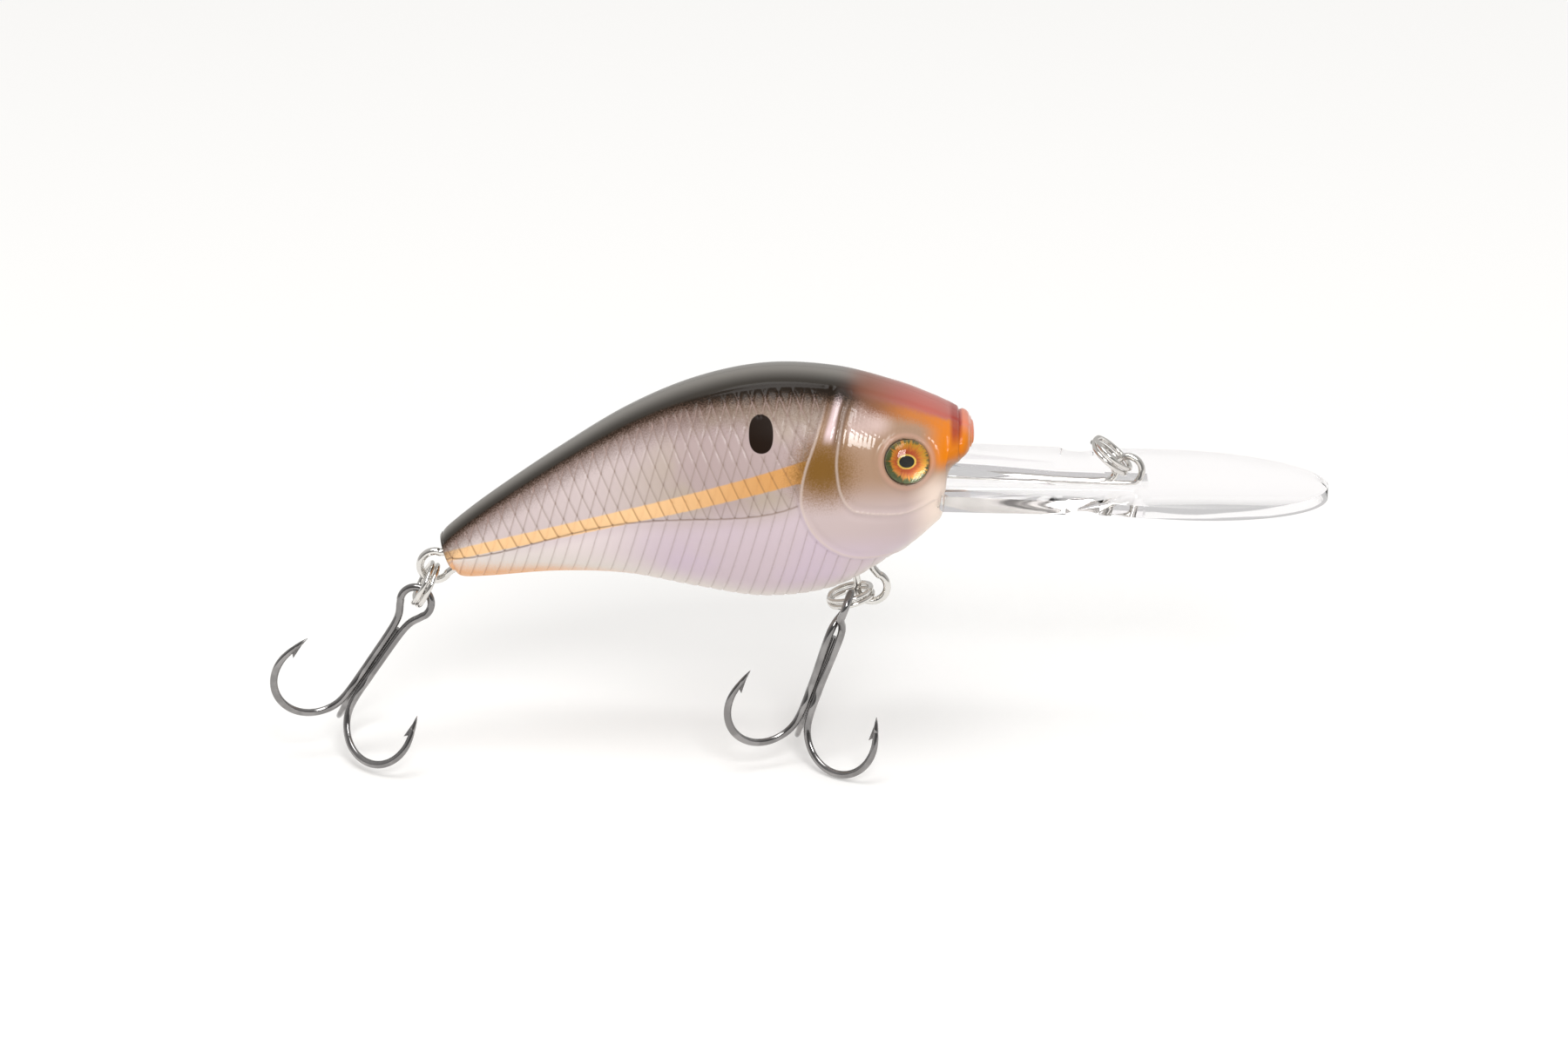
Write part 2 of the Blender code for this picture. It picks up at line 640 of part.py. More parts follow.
def solid_features(hangers):
    """What is left standing in the hollow, by name."""
    features = {}
    reach = BODY_WIDTH
    for index, (along, height) in enumerate(GLUE_BOSSES):
        point = body_point(along, height)
        features[f"boss_{index}"] = across_rod(f"boss_{index}", point, reach, BOSS_RADIUS, 12)
    for index, (along, height) in enumerate(BALL_LANES):
        outer = BALL_RADIUS + BALL_LANE_CLEARANCE + LANE_WALL
        features[f"lane_{index}"] = across_rod(f"lane_{index}", body_point(along, height), reach, outer)
    keel = keel_centre()
    for end in (-1, 1):
        middle = keel.x + end * KEEL_RIB_SPACING / 2
        low = Vector((middle - KEEL_RIB / 2, -reach, keel.z - BODY_HEIGHT))
        high = Vector((middle + KEEL_RIB / 2, reach, keel.z + KEEL_RIB_HEIGHT))
        features[f"keel_rib_{end}"] = box_mesh(f"keel_rib_{end}", low, high)
    for name, (centre, lean) in hangers.items():
        inner = centre + in_plane(lean) * (HANGER_LEG + HANGER_WIRE + GAP + SEAT_MARGIN)
        features[f"{name}_seat"] = seat_mesh(f"{name}_seat", centre, inner, lean)
    nose = body_point(NOSE_WEIGHT_ALONG, NOSE_WEIGHT_HEIGHT)
    features["nose_weight_seat"] = across_rod("nose_weight_seat", nose, reach,
                                              NOSE_WEIGHT_RADIUS + GAP + LANE_WALL)
    return features


def seat_mesh(name, start, end, lean):
    """The block in the body that holds a hanger's legs."""
    half_wide = HANGER_NECK / 2 + HANGER_SPLAY + HANGER_WIRE / 2 + GAP + SEAT_MARGIN
    half_thick = HANGER_WIRE / 2 + GAP + SEAT_WALL
    bm = bmesh.new()
    bmesh.ops.create_cube(bm, size=1)
    length = (end - start).length
    bm.transform(Matrix.Diagonal((length, 2 * half_thick, 2 * half_wide, 1)))
    bm.transform(Matrix.Rotation(-lean, 4, "Y"))
    bm.transform(Matrix.Translation((start + end) / 2))
    return finish_mesh(name, bm)


def keel_centre():
    belly = section_at(row_at(KEEL_ALONG))[1]
    return belly + Vector((0, 0, SHELL_WALL + GAP + KEEL_RADIUS + KEEL_STAND))


def open_cuts(hangers):
    """What is cut right through shells, bosses and seats alike, by name."""
    cuts = {}
    for index, (along, height) in enumerate(BALL_LANES):
        point = body_point(along, height)
        half = flank_point(along, point.z, 1).y - SHELL_WALL - GAP
        radius = BALL_RADIUS + BALL_LANE_CLEARANCE
        cuts[f"lane_bore_{index}"] = across_rod(f"lane_bore_{index}", point, half, radius)
    keel = keel_centre()
    reach = Vector((KEEL_LENGTH / 2 + GAP, 0, 0))
    cuts["keel_bed"] = rod_mesh("keel_bed", keel - reach, keel + reach, KEEL_RADIUS + GAP)
    nose = body_point(NOSE_WEIGHT_ALONG, NOSE_WEIGHT_HEIGHT)
    cuts["nose_weight_bed"] = across_rod("nose_weight_bed", nose, NOSE_WEIGHT_LENGTH / 2 + GAP,
                                         NOSE_WEIGHT_RADIUS + GAP)
    for name, (centre, lean) in hangers.items():
        path = hanger_path(centre, lean)
        cuts[f"{name}_hanger_groove"] = tube_mesh(f"{name}_hanger_groove", path, HANGER_WIRE / 2 + GAP, 8)
    cuts["lip_slot"] = lip_mesh("lip_slot", GAP)
    cuts["gusset_slot"] = gusset_mesh("gusset_slot", GAP)
    cuts["tie_leg_room"] = tube_mesh("tie_leg_room", tie_path(), TIE_WIRE / 2 + GAP)
    socket = rod_mesh("eye_socket", Vector((0, 0, -EYE_SOCKET_DEPTH)), Vector((0, 0, OVERSHOOT)),
                      EYE_SOCKET_RADIUS, 20)
    socket.transform(eye_place(-1))
    cuts["eye_socket"] = socket
    return cuts


def build_shells(pearl, hangers):
    """The right half is carved and gets the glue pins. The left is its mirror image, with their holes."""
    features = solid_features(hangers)
    seat = rod_mesh("eye_seat", Vector((0, 0, -EYE_SOCKET_DEPTH - SHELL_WALL)), Vector((0, 0, OVERSHOOT)),
                    EYE_SOCKET_RADIUS + SHELL_WALL, 20)
    seat.transform(eye_place(-1))
    features["eye_seat"] = seat
    bm = bmesh.new()
    bm.from_mesh(body_mesh("body", 0.0, 0.0, len(SECTIONS) - 1.0))
    cut = bmesh.ops.bisect_plane(bm, geom=[*bm.verts, *bm.edges, *bm.faces], plane_co=(0, -GAP / 2, 0),
                                 plane_no=(0, 1, 0), clear_outer=True)
    edges = [item for item in cut["geom_cut"] if isinstance(item, bmesh.types.BMEdge)]
    bmesh.ops.contextual_create(bm, geom=edges)
    bmesh.ops.triangulate(bm, faces=[face for face in bm.faces if len(face.verts) > 4])
    right = add_object("body_shell_right", finish_mesh("body_shell_right", bm), pearl)
    combine(right, build_cavity(features), "DIFFERENCE")
    for name, mesh in open_cuts(hangers).items():
        combine(right, add_cutter(name, mesh), "DIFFERENCE")

    mirrored = right.data.copy()
    mirrored.transform(Matrix.Diagonal((1, -1, 1, 1)))
    mirrored.flip_normals()
    left = add_object("body_shell_left", mirrored)
    for index, (along, height) in enumerate(GLUE_BOSSES):
        point = body_point(along, height)
        root = Vector((0, OVERLAP, 0))
        reach = Vector((0, PIN_LENGTH, 0))
        pin = rod_mesh(f"pin_{index}", point - root, point + reach, PIN_RADIUS, 12)
        combine(right, add_cutter(f"pin_{index}", pin), "UNION")
        hole = rod_mesh(f"pin_hole_{index}", point - root, point + reach * (1 + GAP / PIN_LENGTH),
                        PIN_RADIUS + GAP, 12)
        combine(left, add_cutter(f"pin_hole_{index}", hole), "DIFFERENCE")
    for shell in (right, left):
        shell.data.shade_smooth()
        shell.data.set_sharp_from_angle(angle=math.radians(40))


def build_eyes(iris_print, clear):
    for side, name in ((-1, "right"), (1, "left")):
        place = eye_place(side)
        radius = EYE_SOCKET_RADIUS - GAP
        bottom = GAP - EYE_SOCKET_DEPTH
        top = bottom + IRIS_THICKNESS
        print_outline = [(0, bottom), (radius, bottom), (radius, top), (0, top)]
        iris = turned_mesh(f"eye_iris_{name}", print_outline, place, 24)
        add_object(f"eye_iris_{name}", iris, iris_print, place.translation)
        base = bottom + IRIS_THICKNESS + GAP
        outline = [(0, base), (radius, base), (radius, base + LENS_RIM)]
        for step in range(1, 5):
            angle = math.pi / 2 * step / 5
            outline.append((radius * math.cos(angle), base + LENS_RIM + LENS_CROWN * math.sin(angle)))
        outline.append((0, base + LENS_RIM + LENS_CROWN))
        lens = turned_mesh(f"eye_lens_{name}", outline, place, 24)
        add_object(f"eye_lens_{name}", lens, clear, place.translation)


def build_insides(lead, steel):
    keel = keel_centre()
    reach = Vector((KEEL_LENGTH / 2, 0, 0))
    weight = rod_mesh("keel_weight", keel - reach, keel + reach, KEEL_RADIUS, 16, KEEL_BEVEL)
    add_object("keel_weight", weight, lead, keel)
    nose = body_point(NOSE_WEIGHT_ALONG, NOSE_WEIGHT_HEIGHT)
    reach = Vector((0, NOSE_WEIGHT_LENGTH / 2, 0))
    weight = rod_mesh("nose_weight", nose - reach, nose + reach, NOSE_WEIGHT_RADIUS, 16, NOSE_WEIGHT_BEVEL)
    add_object("nose_weight", weight, lead, nose)
    for index, (along, height) in enumerate(BALL_LANES):
        centre = body_point(along, height)
        outline = [(0, -BALL_RADIUS)]
        for step in range(1, 8):
            angle = math.pi * step / 8
            outline.append((BALL_RADIUS * math.sin(angle), -BALL_RADIUS * math.cos(angle)))
        outline.append((0, BALL_RADIUS))
        ball = turned_mesh(f"rattle_ball_{index + 1}", outline, Matrix.Translation(centre), 12)
        add_object(f"rattle_ball_{index + 1}", ball, steel, centre)


def build_hardware(steel, hook_finish, hangers):
    for name, (centre, lean) in hangers.items():
        wire = tube_mesh(f"{name}_hanger_wire", hanger_path(centre, lean), HANGER_WIRE / 2)
        add_object(f"{name}_hanger_wire", wire, steel, centre)
    add_object("line_tie_wire", tube_mesh("line_tie_wire", tie_path(), TIE_WIRE / 2), steel)

    belly_pivot = hangers["belly"][0] + Vector((0, 0, -BELLY_RING_DROP))
    rings = {"line_tie_ring": (Vector(), LINE_RING_ANGLE),
             "belly_split_ring": (belly_pivot, BELLY_RING_ANGLE),
             "tail_split_ring": (hangers["tail"][0], TAIL_RING_ANGLE)}
    for name, (pivot, angle) in rings.items():
        add_object(name, tube_mesh(name, ring_path(pivot, angle), RING_WIRE / 2), steel, pivot)

    lean = in_plane(BELLY_RING_ANGLE)
    belly_eye = belly_pivot + RING_RADIUS * (lean + lean * math.cos(BELLY_TREBLE_ROUND)
                                             + Vector((0, -1, 0)) * math.sin(BELLY_TREBLE_ROUND))
    belly_eye += BELLY_TREBLE_DROP * in_plane(BELLY_TREBLE_LEAN)
    tail_eye = hangers["tail"][0] + 2 * RING_RADIUS * in_plane(TAIL_RING_ANGLE)
    trebles = {"belly": (belly_eye, BELLY_TREBLE_LEAN, math.radians(90)),
               "tail": (tail_eye, TAIL_TREBLE_LEAN, 0.0)}
    for name, (eye, lean_angle, eye_turn) in trebles.items():
        place, turn = treble_place(eye, lean_angle, eye_turn)
        double = double_hook_mesh(f"{name}_treble_double", place, turn)
        add_object(f"{name}_treble_double", double, hook_finish, eye)
        third = third_hook_mesh(f"{name}_treble_third", place)
        add_object(f"{name}_treble_third", third, hook_finish, eye)


def build():
    clear_scene()
    pearl = make_material("pearl_abs", (0.62, 0.55, 0.56), 0.25)
    clear = make_material("clear_polycarbonate", (0.92, 0.93, 0.95), 0.08, alpha=0.35)
    iris_print = make_material("iris_foil", (0.75, 0.28, 0.05), 0.3)
    steel = make_material("stainless_wire", (0.66, 0.65, 0.63), 0.22, 1.0)
    hook_finish = make_material("black_nickel", (0.16, 0.15, 0.15), 0.25, 1.0)
    lead = make_material("lead_alloy", (0.30, 0.31, 0.33), 0.6, 1.0)
    hangers = hanger_places()
    build_shells(pearl, hangers)
    build_lip(clear)
    build_eyes(iris_print, clear)
    build_insides(lead, steel)
    build_hardware(steel, hook_finish, hangers)


build()
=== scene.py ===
import json
import math

import bmesh
import bpy
import numpy as np
from mathutils import Matrix, Vector


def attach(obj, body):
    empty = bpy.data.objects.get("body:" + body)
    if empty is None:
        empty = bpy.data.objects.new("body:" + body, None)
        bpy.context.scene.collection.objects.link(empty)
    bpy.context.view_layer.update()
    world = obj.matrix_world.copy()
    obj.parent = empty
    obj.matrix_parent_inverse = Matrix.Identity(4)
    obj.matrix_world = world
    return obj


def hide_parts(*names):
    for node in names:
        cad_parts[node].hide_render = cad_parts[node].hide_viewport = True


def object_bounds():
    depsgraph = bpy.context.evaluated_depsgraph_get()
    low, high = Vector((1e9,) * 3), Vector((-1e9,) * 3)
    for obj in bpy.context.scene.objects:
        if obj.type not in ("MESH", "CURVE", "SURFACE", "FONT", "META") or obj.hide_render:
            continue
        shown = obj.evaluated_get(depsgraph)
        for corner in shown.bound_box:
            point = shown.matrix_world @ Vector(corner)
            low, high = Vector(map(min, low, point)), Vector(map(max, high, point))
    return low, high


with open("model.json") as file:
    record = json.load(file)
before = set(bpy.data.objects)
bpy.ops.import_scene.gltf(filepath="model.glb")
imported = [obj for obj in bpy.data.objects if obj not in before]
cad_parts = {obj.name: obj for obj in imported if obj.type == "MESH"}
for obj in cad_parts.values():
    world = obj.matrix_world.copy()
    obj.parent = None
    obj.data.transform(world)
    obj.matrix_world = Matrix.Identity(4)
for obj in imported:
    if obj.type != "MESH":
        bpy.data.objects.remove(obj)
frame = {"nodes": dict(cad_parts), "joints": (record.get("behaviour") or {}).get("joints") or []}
cad_low, cad_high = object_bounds()
nodes = frame["nodes"]
MM = 0.001

# The studio. The lure hangs in its swimming attitude over a white table, its trebles just touching, and is
# seen from its right side and a little above. The room is white, dimmer in front, with two soft boxes.
camera_data = bpy.data.cameras.new("camera")
camera_data.sensor_width = 36.0
camera_data.lens = 179.0
camera_data.clip_start = 0.05
camera = bpy.data.objects.new("camera", camera_data)
bpy.context.scene.collection.objects.link(camera)
bpy.context.scene.camera = camera
camera_lift = math.radians(20)
aim = Vector((-44.13, -2.33, -6.41)) * MM
towards_camera = Vector((0, -math.cos(camera_lift), math.sin(camera_lift)))
camera.location = aim + towards_camera
camera.rotation_euler = (-towards_camera).to_track_quat("-Z", "Y").to_euler()

bpy.context.scene.view_settings.view_transform = "Standard"

bpy.ops.mesh.primitive_plane_add(size=8.0, location=(0, 0, cad_low.z - 0.3 * MM))
table = bpy.context.object
table.name = "table"
paper = bpy.data.materials.new("table_paper")
paper.use_nodes = True
paper_shader = paper.node_tree.nodes["Principled BSDF"]
paper_shader.inputs["Base Color"].default_value = (0.80, 0.795, 0.785, 1)
paper_shader.inputs["Roughness"].default_value = 0.9
paper_shader.inputs["Specular IOR Level"].default_value = 0.1
paper_shader.inputs["Emission Color"].default_value = (1.0, 0.99, 0.975, 1)
paper_shader.inputs["Emission Strength"].default_value = 0.20
table.data.materials.append(paper)

room = bpy.data.worlds.new("white_room")
bpy.context.scene.world = room
room.use_nodes = True
room_nodes, join = room.node_tree.nodes, room.node_tree.links.new
walls = room_nodes["Background"]
walls.inputs["Color"].default_value = (1.0, 0.995, 0.985, 1)
direction = room_nodes.new("ShaderNodeSeparateXYZ")
join(room_nodes.new("ShaderNodeTexCoord").outputs["Generated"], direction.inputs[0])
dimming = room_nodes.new("ShaderNodeMapRange")
for limit, value in (("From Min", -0.95), ("From Max", 0.0), ("To Min", 0.16), ("To Max", 0.62)):
    dimming.inputs[limit].default_value = value
join(direction.outputs["Y"], dimming.inputs["Value"])
join(dimming.outputs["Result"], walls.inputs["Strength"])

for name, place, width, power in (("overhead_box", (-0.16, -0.60, 1.56), 0.80, 10.5),
                                  ("front_box", (0.20, -1.34, 1.02), 0.50, 13.5)):
    light_data = bpy.data.lights.new(name, "AREA")
    light_data.size = width
    light_data.energy = power
    light = bpy.data.objects.new(name, light_data)
    light.location = aim + Vector(place)
    light.rotation_euler = (-Vector(place)).to_track_quat("-Z", "Y").to_euler()
    bpy.context.scene.collection.objects.link(light)

# The body is two hollow halves moulded in ABS, glued down the middle and sprayed: pearl, then the dark back,
# the peach stripe, the dustings and the spot, and a clear gloss. The mould cuts the scale lattice, the ribs
# below the side line, the gill covers and the eye sockets. Lengths are in millimetres.
BODY_LENGTH, BODY_HEIGHT, BODY_WIDTH = 68.4, 31.2, 22.4
CHIN_X = -22.9
NOSE_OVERHANG = 0.041
NOSE_X = CHIN_X + NOSE_OVERHANG * BODY_LENGTH
SECTION_POWER = 2.15
# Each section: where the back is (along, up), where the belly is (along, up), and the width, as shares.
SECTIONS = [
    (0.997, -0.285, 0.975, -0.426, 0.23), (0.981, -0.240, 0.959, -0.465, 0.28),
    (0.907, -0.109, 0.907, -0.465, 0.36), (0.777, 0.090, 0.777, -0.442, 0.54),
    (0.645, 0.271, 0.645, -0.452, 0.71), (0.515, 0.394, 0.515, -0.506, 0.86),
    (0.384, 0.453, 0.384, -0.546, 0.96), (0.253, 0.437, 0.253, -0.500, 1.00),
    (0.139, 0.368, 0.139, -0.349, 0.95), (0.073, 0.310, 0.073, -0.224, 0.86),
    (0.051, 0.288, 0.052, -0.160, 0.79), (0.041, 0.275, 0.043, 0.010, 0.70),
    (0.022, 0.253, 0.022, 0.062, 0.58), (0.006, 0.236, 0.006, 0.096, 0.46),
    (0.000, 0.206, 0.000, 0.126, 0.26)]
SHELL_WALL = 1.3
CAVITY_ROWS = (1.6, 9.6)
HALF_SEAM = 0.02
END_ROUNDING = 0.3
ALONG_STEPS, CAP_STEPS, ROUND_STEPS = 560, 10, 168


def smooth_through(points, places):
    """Rows of a smooth curve through the given rows, at fractional row numbers."""
    last = len(points) - 1
    index = np.minimum(places.astype(int), last - 1)
    share = (places - index)[:, None]
    before, start, end, after = [points[np.clip(index + shift, 0, last)] for shift in (-1, 0, 1, 2)]
    return 0.5 * (2 * start + (end - before) * share + (2 * before - 5 * start + 4 * end - after) * share**2
                  + (3 * start - before - 3 * end + after) * share**3)


def body_sections(places):
    """Back, belly (both x, z) and half width of the body, at fractional section numbers."""
    scale = np.array((-BODY_LENGTH, BODY_HEIGHT, -BODY_LENGTH, BODY_HEIGHT, BODY_WIDTH / 2))
    return smooth_through(np.array(SECTIONS) * scale + np.array((NOSE_X, 0, NOSE_X, 0, 0)), places)


def body_surface(sections, turns, inset):
    """Points of the right side's surface: one row for each section, from the back round to the belly."""
    up = np.sign(np.cos(turns)) * np.abs(np.cos(turns)) ** (2 / SECTION_POWER)
    out = np.abs(np.sin(turns)) ** (2 / SECTION_POWER)
    back_x, back_z, belly_x, belly_z, half = [sections[:, k][:, None] for k in range(5)]
    half_height = np.hypot(back_x - belly_x, back_z - belly_z) / 2
    shrink = (half_height - inset) / half_height
    x = (back_x + belly_x) / 2 + (back_x - belly_x) / 2 * up * shrink
    z = (back_z + belly_z) / 2 + (back_z - belly_z) / 2 * up * shrink
    return np.stack([x, -(half - inset) * out, z], axis=-1)


def even_sections(count):
    """Section numbers that space the given count of sections evenly along the body."""
    fine = np.linspace(0, len(SECTIONS) - 1.0, 4000)
    shape = body_sections(fine)
    moves = [np.hypot(np.diff(shape[:, k]), np.diff(shape[:, k + 1])) for k in (0, 2)]
    run = np.concatenate([[0], np.cumsum(np.maximum(*moves))])
    return np.interp(np.linspace(0, run[-1], count), run, fine)


def rise(value, start, end):
    """0 before the start, 1 past the end, and smooth between them."""
    share = np.clip((value - start) / (end - start), 0, 1)
    return share * share * (3 - 2 * share)


def bump(value, middle, width):
    return np.exp(-((value - middle) / width) ** 2)


def side_of(x, z, points):
    """Signed distance, in the side view, from a curve through the points: positive on its head side."""
    points = np.array(points, float)
    curve = smooth_through(points, np.linspace(0, len(points) - 1, 240))
    nearest = np.full(x.shape, 1e9)
    signed = np.zeros(x.shape)
    tangents = np.gradient(curve, axis=0)
    for (px, pz), (tx, tz) in zip(curve, tangents):
        away = np.hypot(x - px, z - pz)
        closer = away < nearest
        nearest = np.where(closer, away, nearest)
        side = (x - px) * tz - (z - pz) * tx
        signed = np.where(closer, np.where(side < 0, away, -away), signed)
    return signed


# Where the eye's socket is comes from its printed disc.
disc = np.array([v.co for v in nodes["eye_iris_right"].data.vertices]) / MM
eye_centre = disc.mean(axis=0)
eye_axis = np.linalg.svd(disc - eye_centre)[2][2]
eye_axis = eye_axis * (-1 if eye_axis[1] > 0 else 1)
SOCKET_RADIUS, SOCKET_FLOOR = 2.95, -0.35

places = even_sections(ALONG_STEPS - 2 * CAP_STEPS + 1)
turns = np.linspace(0, math.pi, ROUND_STEPS + 1)
skin_mm = body_surface(body_sections(places), turns, 0.0)
# Rounded ends: the last section of each end draws in to its middle, on the glue line.
ends = []
for edge, outward in ((skin_mm[0], np.array((-0.946, 0, -0.323))), (skin_mm[-1], np.array((1.0, 0, 0)))):
    middle = (edge[0] + edge[-1]) / 2
    swing = np.linspace(0, math.pi / 2, CAP_STEPS + 1)[1:]
    cap = np.array([middle + (edge - middle) * math.cos(a) ** 0.7 + outward * END_ROUNDING * math.sin(a)
                    for a in swing])
    ends.append(cap)
skin_mm = np.concatenate([ends[0][::-1], skin_mm, ends[1]])

steps = np.linalg.norm(np.diff(skin_mm, axis=1), axis=2)
from_back = np.concatenate([np.zeros((len(skin_mm), 1)), np.cumsum(steps, axis=1)], axis=1)
from_belly = from_back[:, -1:] - from_back
along_step, round_step = np.gradient(skin_mm, axis=0), np.gradient(skin_mm, axis=1)
normals = np.cross(along_step, round_step)
normals /= np.maximum(np.linalg.norm(normals, axis=2, keepdims=True), 1e-9)
normals *= np.where(normals[..., 1:2] > 0, -1, 1)
x, z = skin_mm[..., 0], skin_mm[..., 2]

# The side line, and the two families of slanting cuts that cross on it.
SIDE_LINE = [(-86.6, -11.3), (-75.6, -8.3), (-66.8, -5.3), (-62.0, -4.3), (-53.1, -3.6), (-48.0, -2.7),
             (-42.3, -1.2)]
LATTICE_PITCH = 1.74
CUT_DEPTH, CUT_WIDTH = 0.13, 0.14
SCALE_RECESS, RIB_STEP = 0.22, 0.06
BAND_EDGE, BAND_FADE = 3.9, 4.9
SPOT_X, SPOT_Z, SPOT_HALF_LENGTH, SPOT_HALF_HEIGHT = -47.05, 7.6, 1.55, 2.25
SPOT_FILL = 0.05
GRAIN_HEIGHT, GRAIN_ALONG, GRAIN_UP = 0.026, 0.72, 0.95
side_line = np.polyval(np.polyfit(*np.array(SIDE_LINE).T, 4), np.clip(x, -88, -40))
over_line = z - side_line
leaning_back = (x + 0.45 * over_line) / LATTICE_PITCH
leaning_forward = (x - 0.27 * over_line) / LATTICE_PITCH
GILL_EDGE = [(-37.9, 15.0), (-38.6, 12.6), (-40.1, 7.8), (-41.6, 3.5), (-42.1, 0.5), (-41.9, -1.9),
             (-40.6, -4.8), (-38.6, -7.0), (-36.1, -8.5), (-33.0, -9.2), (-28.0, -9.4)]
CHEEK_EDGE = [(-34.9, 15.0), (-35.7, 12.1), (-36.7, 9.5), (-37.4, 5.5), (-37.4, 3.1), (-36.9, 0.5),
              (-35.8, -1.3), (-34.3, -2.0), (-30.1, -2.4), (-27.6, -2.0), (-25.0, -1.0)]
gill_edge, cheek_edge = side_of(x, z, GILL_EDGE), side_of(x, z, CHEEK_EDGE)
from_eye_axis = skin_mm - eye_centre
eye_height = from_eye_axis @ eye_axis
from_eye = np.linalg.norm(from_eye_axis - eye_height[..., None] * eye_axis, axis=2)

girth = from_back[:, -1:]
back_reach = from_back / (0.42 + 0.58 * np.clip(girth / 38.0, 0, 1))
scaled = rise(back_reach, 4.8, 5.6) * rise(-gill_edge, 0.1, 0.5) * rise(from_belly, 0.6, 1.6)


def cut(phase):
    """Depth share of a fine V cut at each whole number of the phase."""
    away = np.abs(phase - np.round(phase)) * LATTICE_PITCH
    return np.exp(-(away / CUT_WIDTH) ** 2)


above = rise(over_line, -0.1, 0.2)
height = -SCALE_RECESS * scaled * rise(back_reach, 4.8, 9.0)
# The spot is sprayed thickly enough to fill the cuts under it.
under_spot = ((x - SPOT_X) / (SPOT_HALF_LENGTH + SPOT_FILL)) ** 2 + ((z - SPOT_Z) / SPOT_HALF_HEIGHT) ** 4
scaled = scaled * rise(under_spot, 1.0, 1.5)
height -= CUT_DEPTH * scaled * (cut(leaning_forward) + above * cut(leaning_back))
height += RIB_STEP * scaled * (1 - above) * (leaning_forward - np.floor(leaning_forward) - 0.5)
height -= 0.15 * scaled * bump(over_line, 0, 0.13)
below_band = rise(back_reach, BAND_EDGE, BAND_FADE)
height -= 0.12 + 0.05 * below_band
# The gill cover's edge and the cheek's are raised ridges with grooves beside them.
gill_fade = below_band * rise(z, -10.2, -7.0)
height -= 0.10 * gill_fade * bump(gill_edge, 0.75, 0.35)
height += 0.11 * gill_fade * bump(gill_edge, 0.15, 0.20)
cheek_fade = below_band * rise(-x, 24.5, 27.5)
height += 0.17 * cheek_fade * bump(cheek_edge, 0.0, 0.18)
height -= 0.14 * cheek_fade * bump(cheek_edge, -0.65, 0.45)
height -= 0.12 * cheek_fade * bump(cheek_edge, 0.6, 0.4)
# A raised band and a hollow run from the back down between the two.
height += 0.30 * rise(z, 4.0, 8.0) * below_band * bump(gill_edge, 1.9, 0.9) * rise(-cheek_edge, 0.1, 0.8)
height -= 0.25 * rise(z, 2.0, 7.0) * below_band * rise(-gill_edge, -2.6, -1.0) * rise(-cheek_edge, 0.0, 0.8)
grain = np.cos(math.tau * (x + 0.5 * z) / GRAIN_ALONG) * np.cos(math.tau * (z - 0.3 * x) / GRAIN_UP)
head_top = below_band * rise(z, 4.5, 8.5) * rise(gill_edge, 0.9, 1.4)
height += GRAIN_HEIGHT * head_top * grain
# The mouth is a groove behind the nose's tip, with a dimple at its corner.
height -= 0.30 * bump(x, -21.5, 0.20) * rise(z, 2.6, 3.6)
height -= 0.25 * bump(np.hypot(x - CHIN_X, z - 3.2), 0, 0.5)
height += 0.16 * bump(from_eye, SOCKET_RADIUS + 0.42, 0.24)
height -= 0.12 * bump(from_eye, SOCKET_RADIUS + 1.15, 0.35)
height[:CAP_STEPS + 3] = 0
height[-CAP_STEPS - 3:] = 0
skin_mm = skin_mm + normals * height[..., None]
in_socket = (1 - rise(from_eye, SOCKET_RADIUS - 0.16, SOCKET_RADIUS + 0.02))[..., None]
lift = ((skin_mm - eye_centre) @ eye_axis)[..., None]
skin_mm = skin_mm - in_socket * (lift - SOCKET_FLOOR) * eye_axis
skin_mm[..., 1] = np.minimum(skin_mm[..., 1], -HALF_SEAM)

bpy.ops.object.select_all(action="DESELECT")
bpy.ops.mesh.primitive_grid_add(x_subdivisions=ALONG_STEPS, y_subdivisions=ROUND_STEPS, size=2.0)
shell_right = bpy.context.object
shell_right.name = "painted_shell_right"
flat = np.empty(len(shell_right.data.vertices) * 3)
shell_right.data.vertices.foreach_get("co", flat)
flat = flat.reshape(-1, 3)
column = np.rint((flat[:, 0] + 1) / 2 * ALONG_STEPS).astype(int)
row = np.rint((flat[:, 1] + 1) / 2 * ROUND_STEPS).astype(int)
shell_right.data.vertices.foreach_set("co", (skin_mm[column, row] * MM).ravel())
for name, field in (("back_reach", back_reach), ("from_belly", from_belly), ("over_line", over_line),
                    ("leaning_back", leaning_back), ("leaning_forward", leaning_forward),
                    ("gill_edge", gill_edge), ("cheek_edge", cheek_edge), ("from_eye", from_eye),
                    ("scaled", scaled), ("head_top", head_top)):
    layer = shell_right.data.attributes.new(name, "FLOAT", "POINT")
    layer.data.foreach_set("value", field[column, row])

# The open side is closed along the glue line, and the hollow is cut.
bpy.ops.object.mode_set(mode="EDIT")
bpy.ops.mesh.select_all(action="SELECT")
bpy.ops.mesh.remove_doubles(threshold=0.002 * MM)
bpy.ops.mesh.select_all(action="DESELECT")
bpy.ops.mesh.select_mode(type="EDGE")
bpy.ops.mesh.select_non_manifold()
bpy.ops.mesh.edge_face_add()
bpy.ops.mesh.select_all(action="SELECT")
bpy.ops.mesh.normals_make_consistent(inside=False)
bpy.ops.object.mode_set(mode="OBJECT")


def outward_object(name, bm):
    """An object from a closed bmesh, once its faces are turned outwards."""
    bm.normal_update()
    bmesh.ops.recalc_face_normals(bm, faces=bm.faces)
    mesh = bpy.data.meshes.new(name)
    bm.to_mesh(mesh)
    bm.free()
    obj = bpy.data.objects.new(name, mesh)
    bpy.context.scene.collection.objects.link(obj)
    return obj


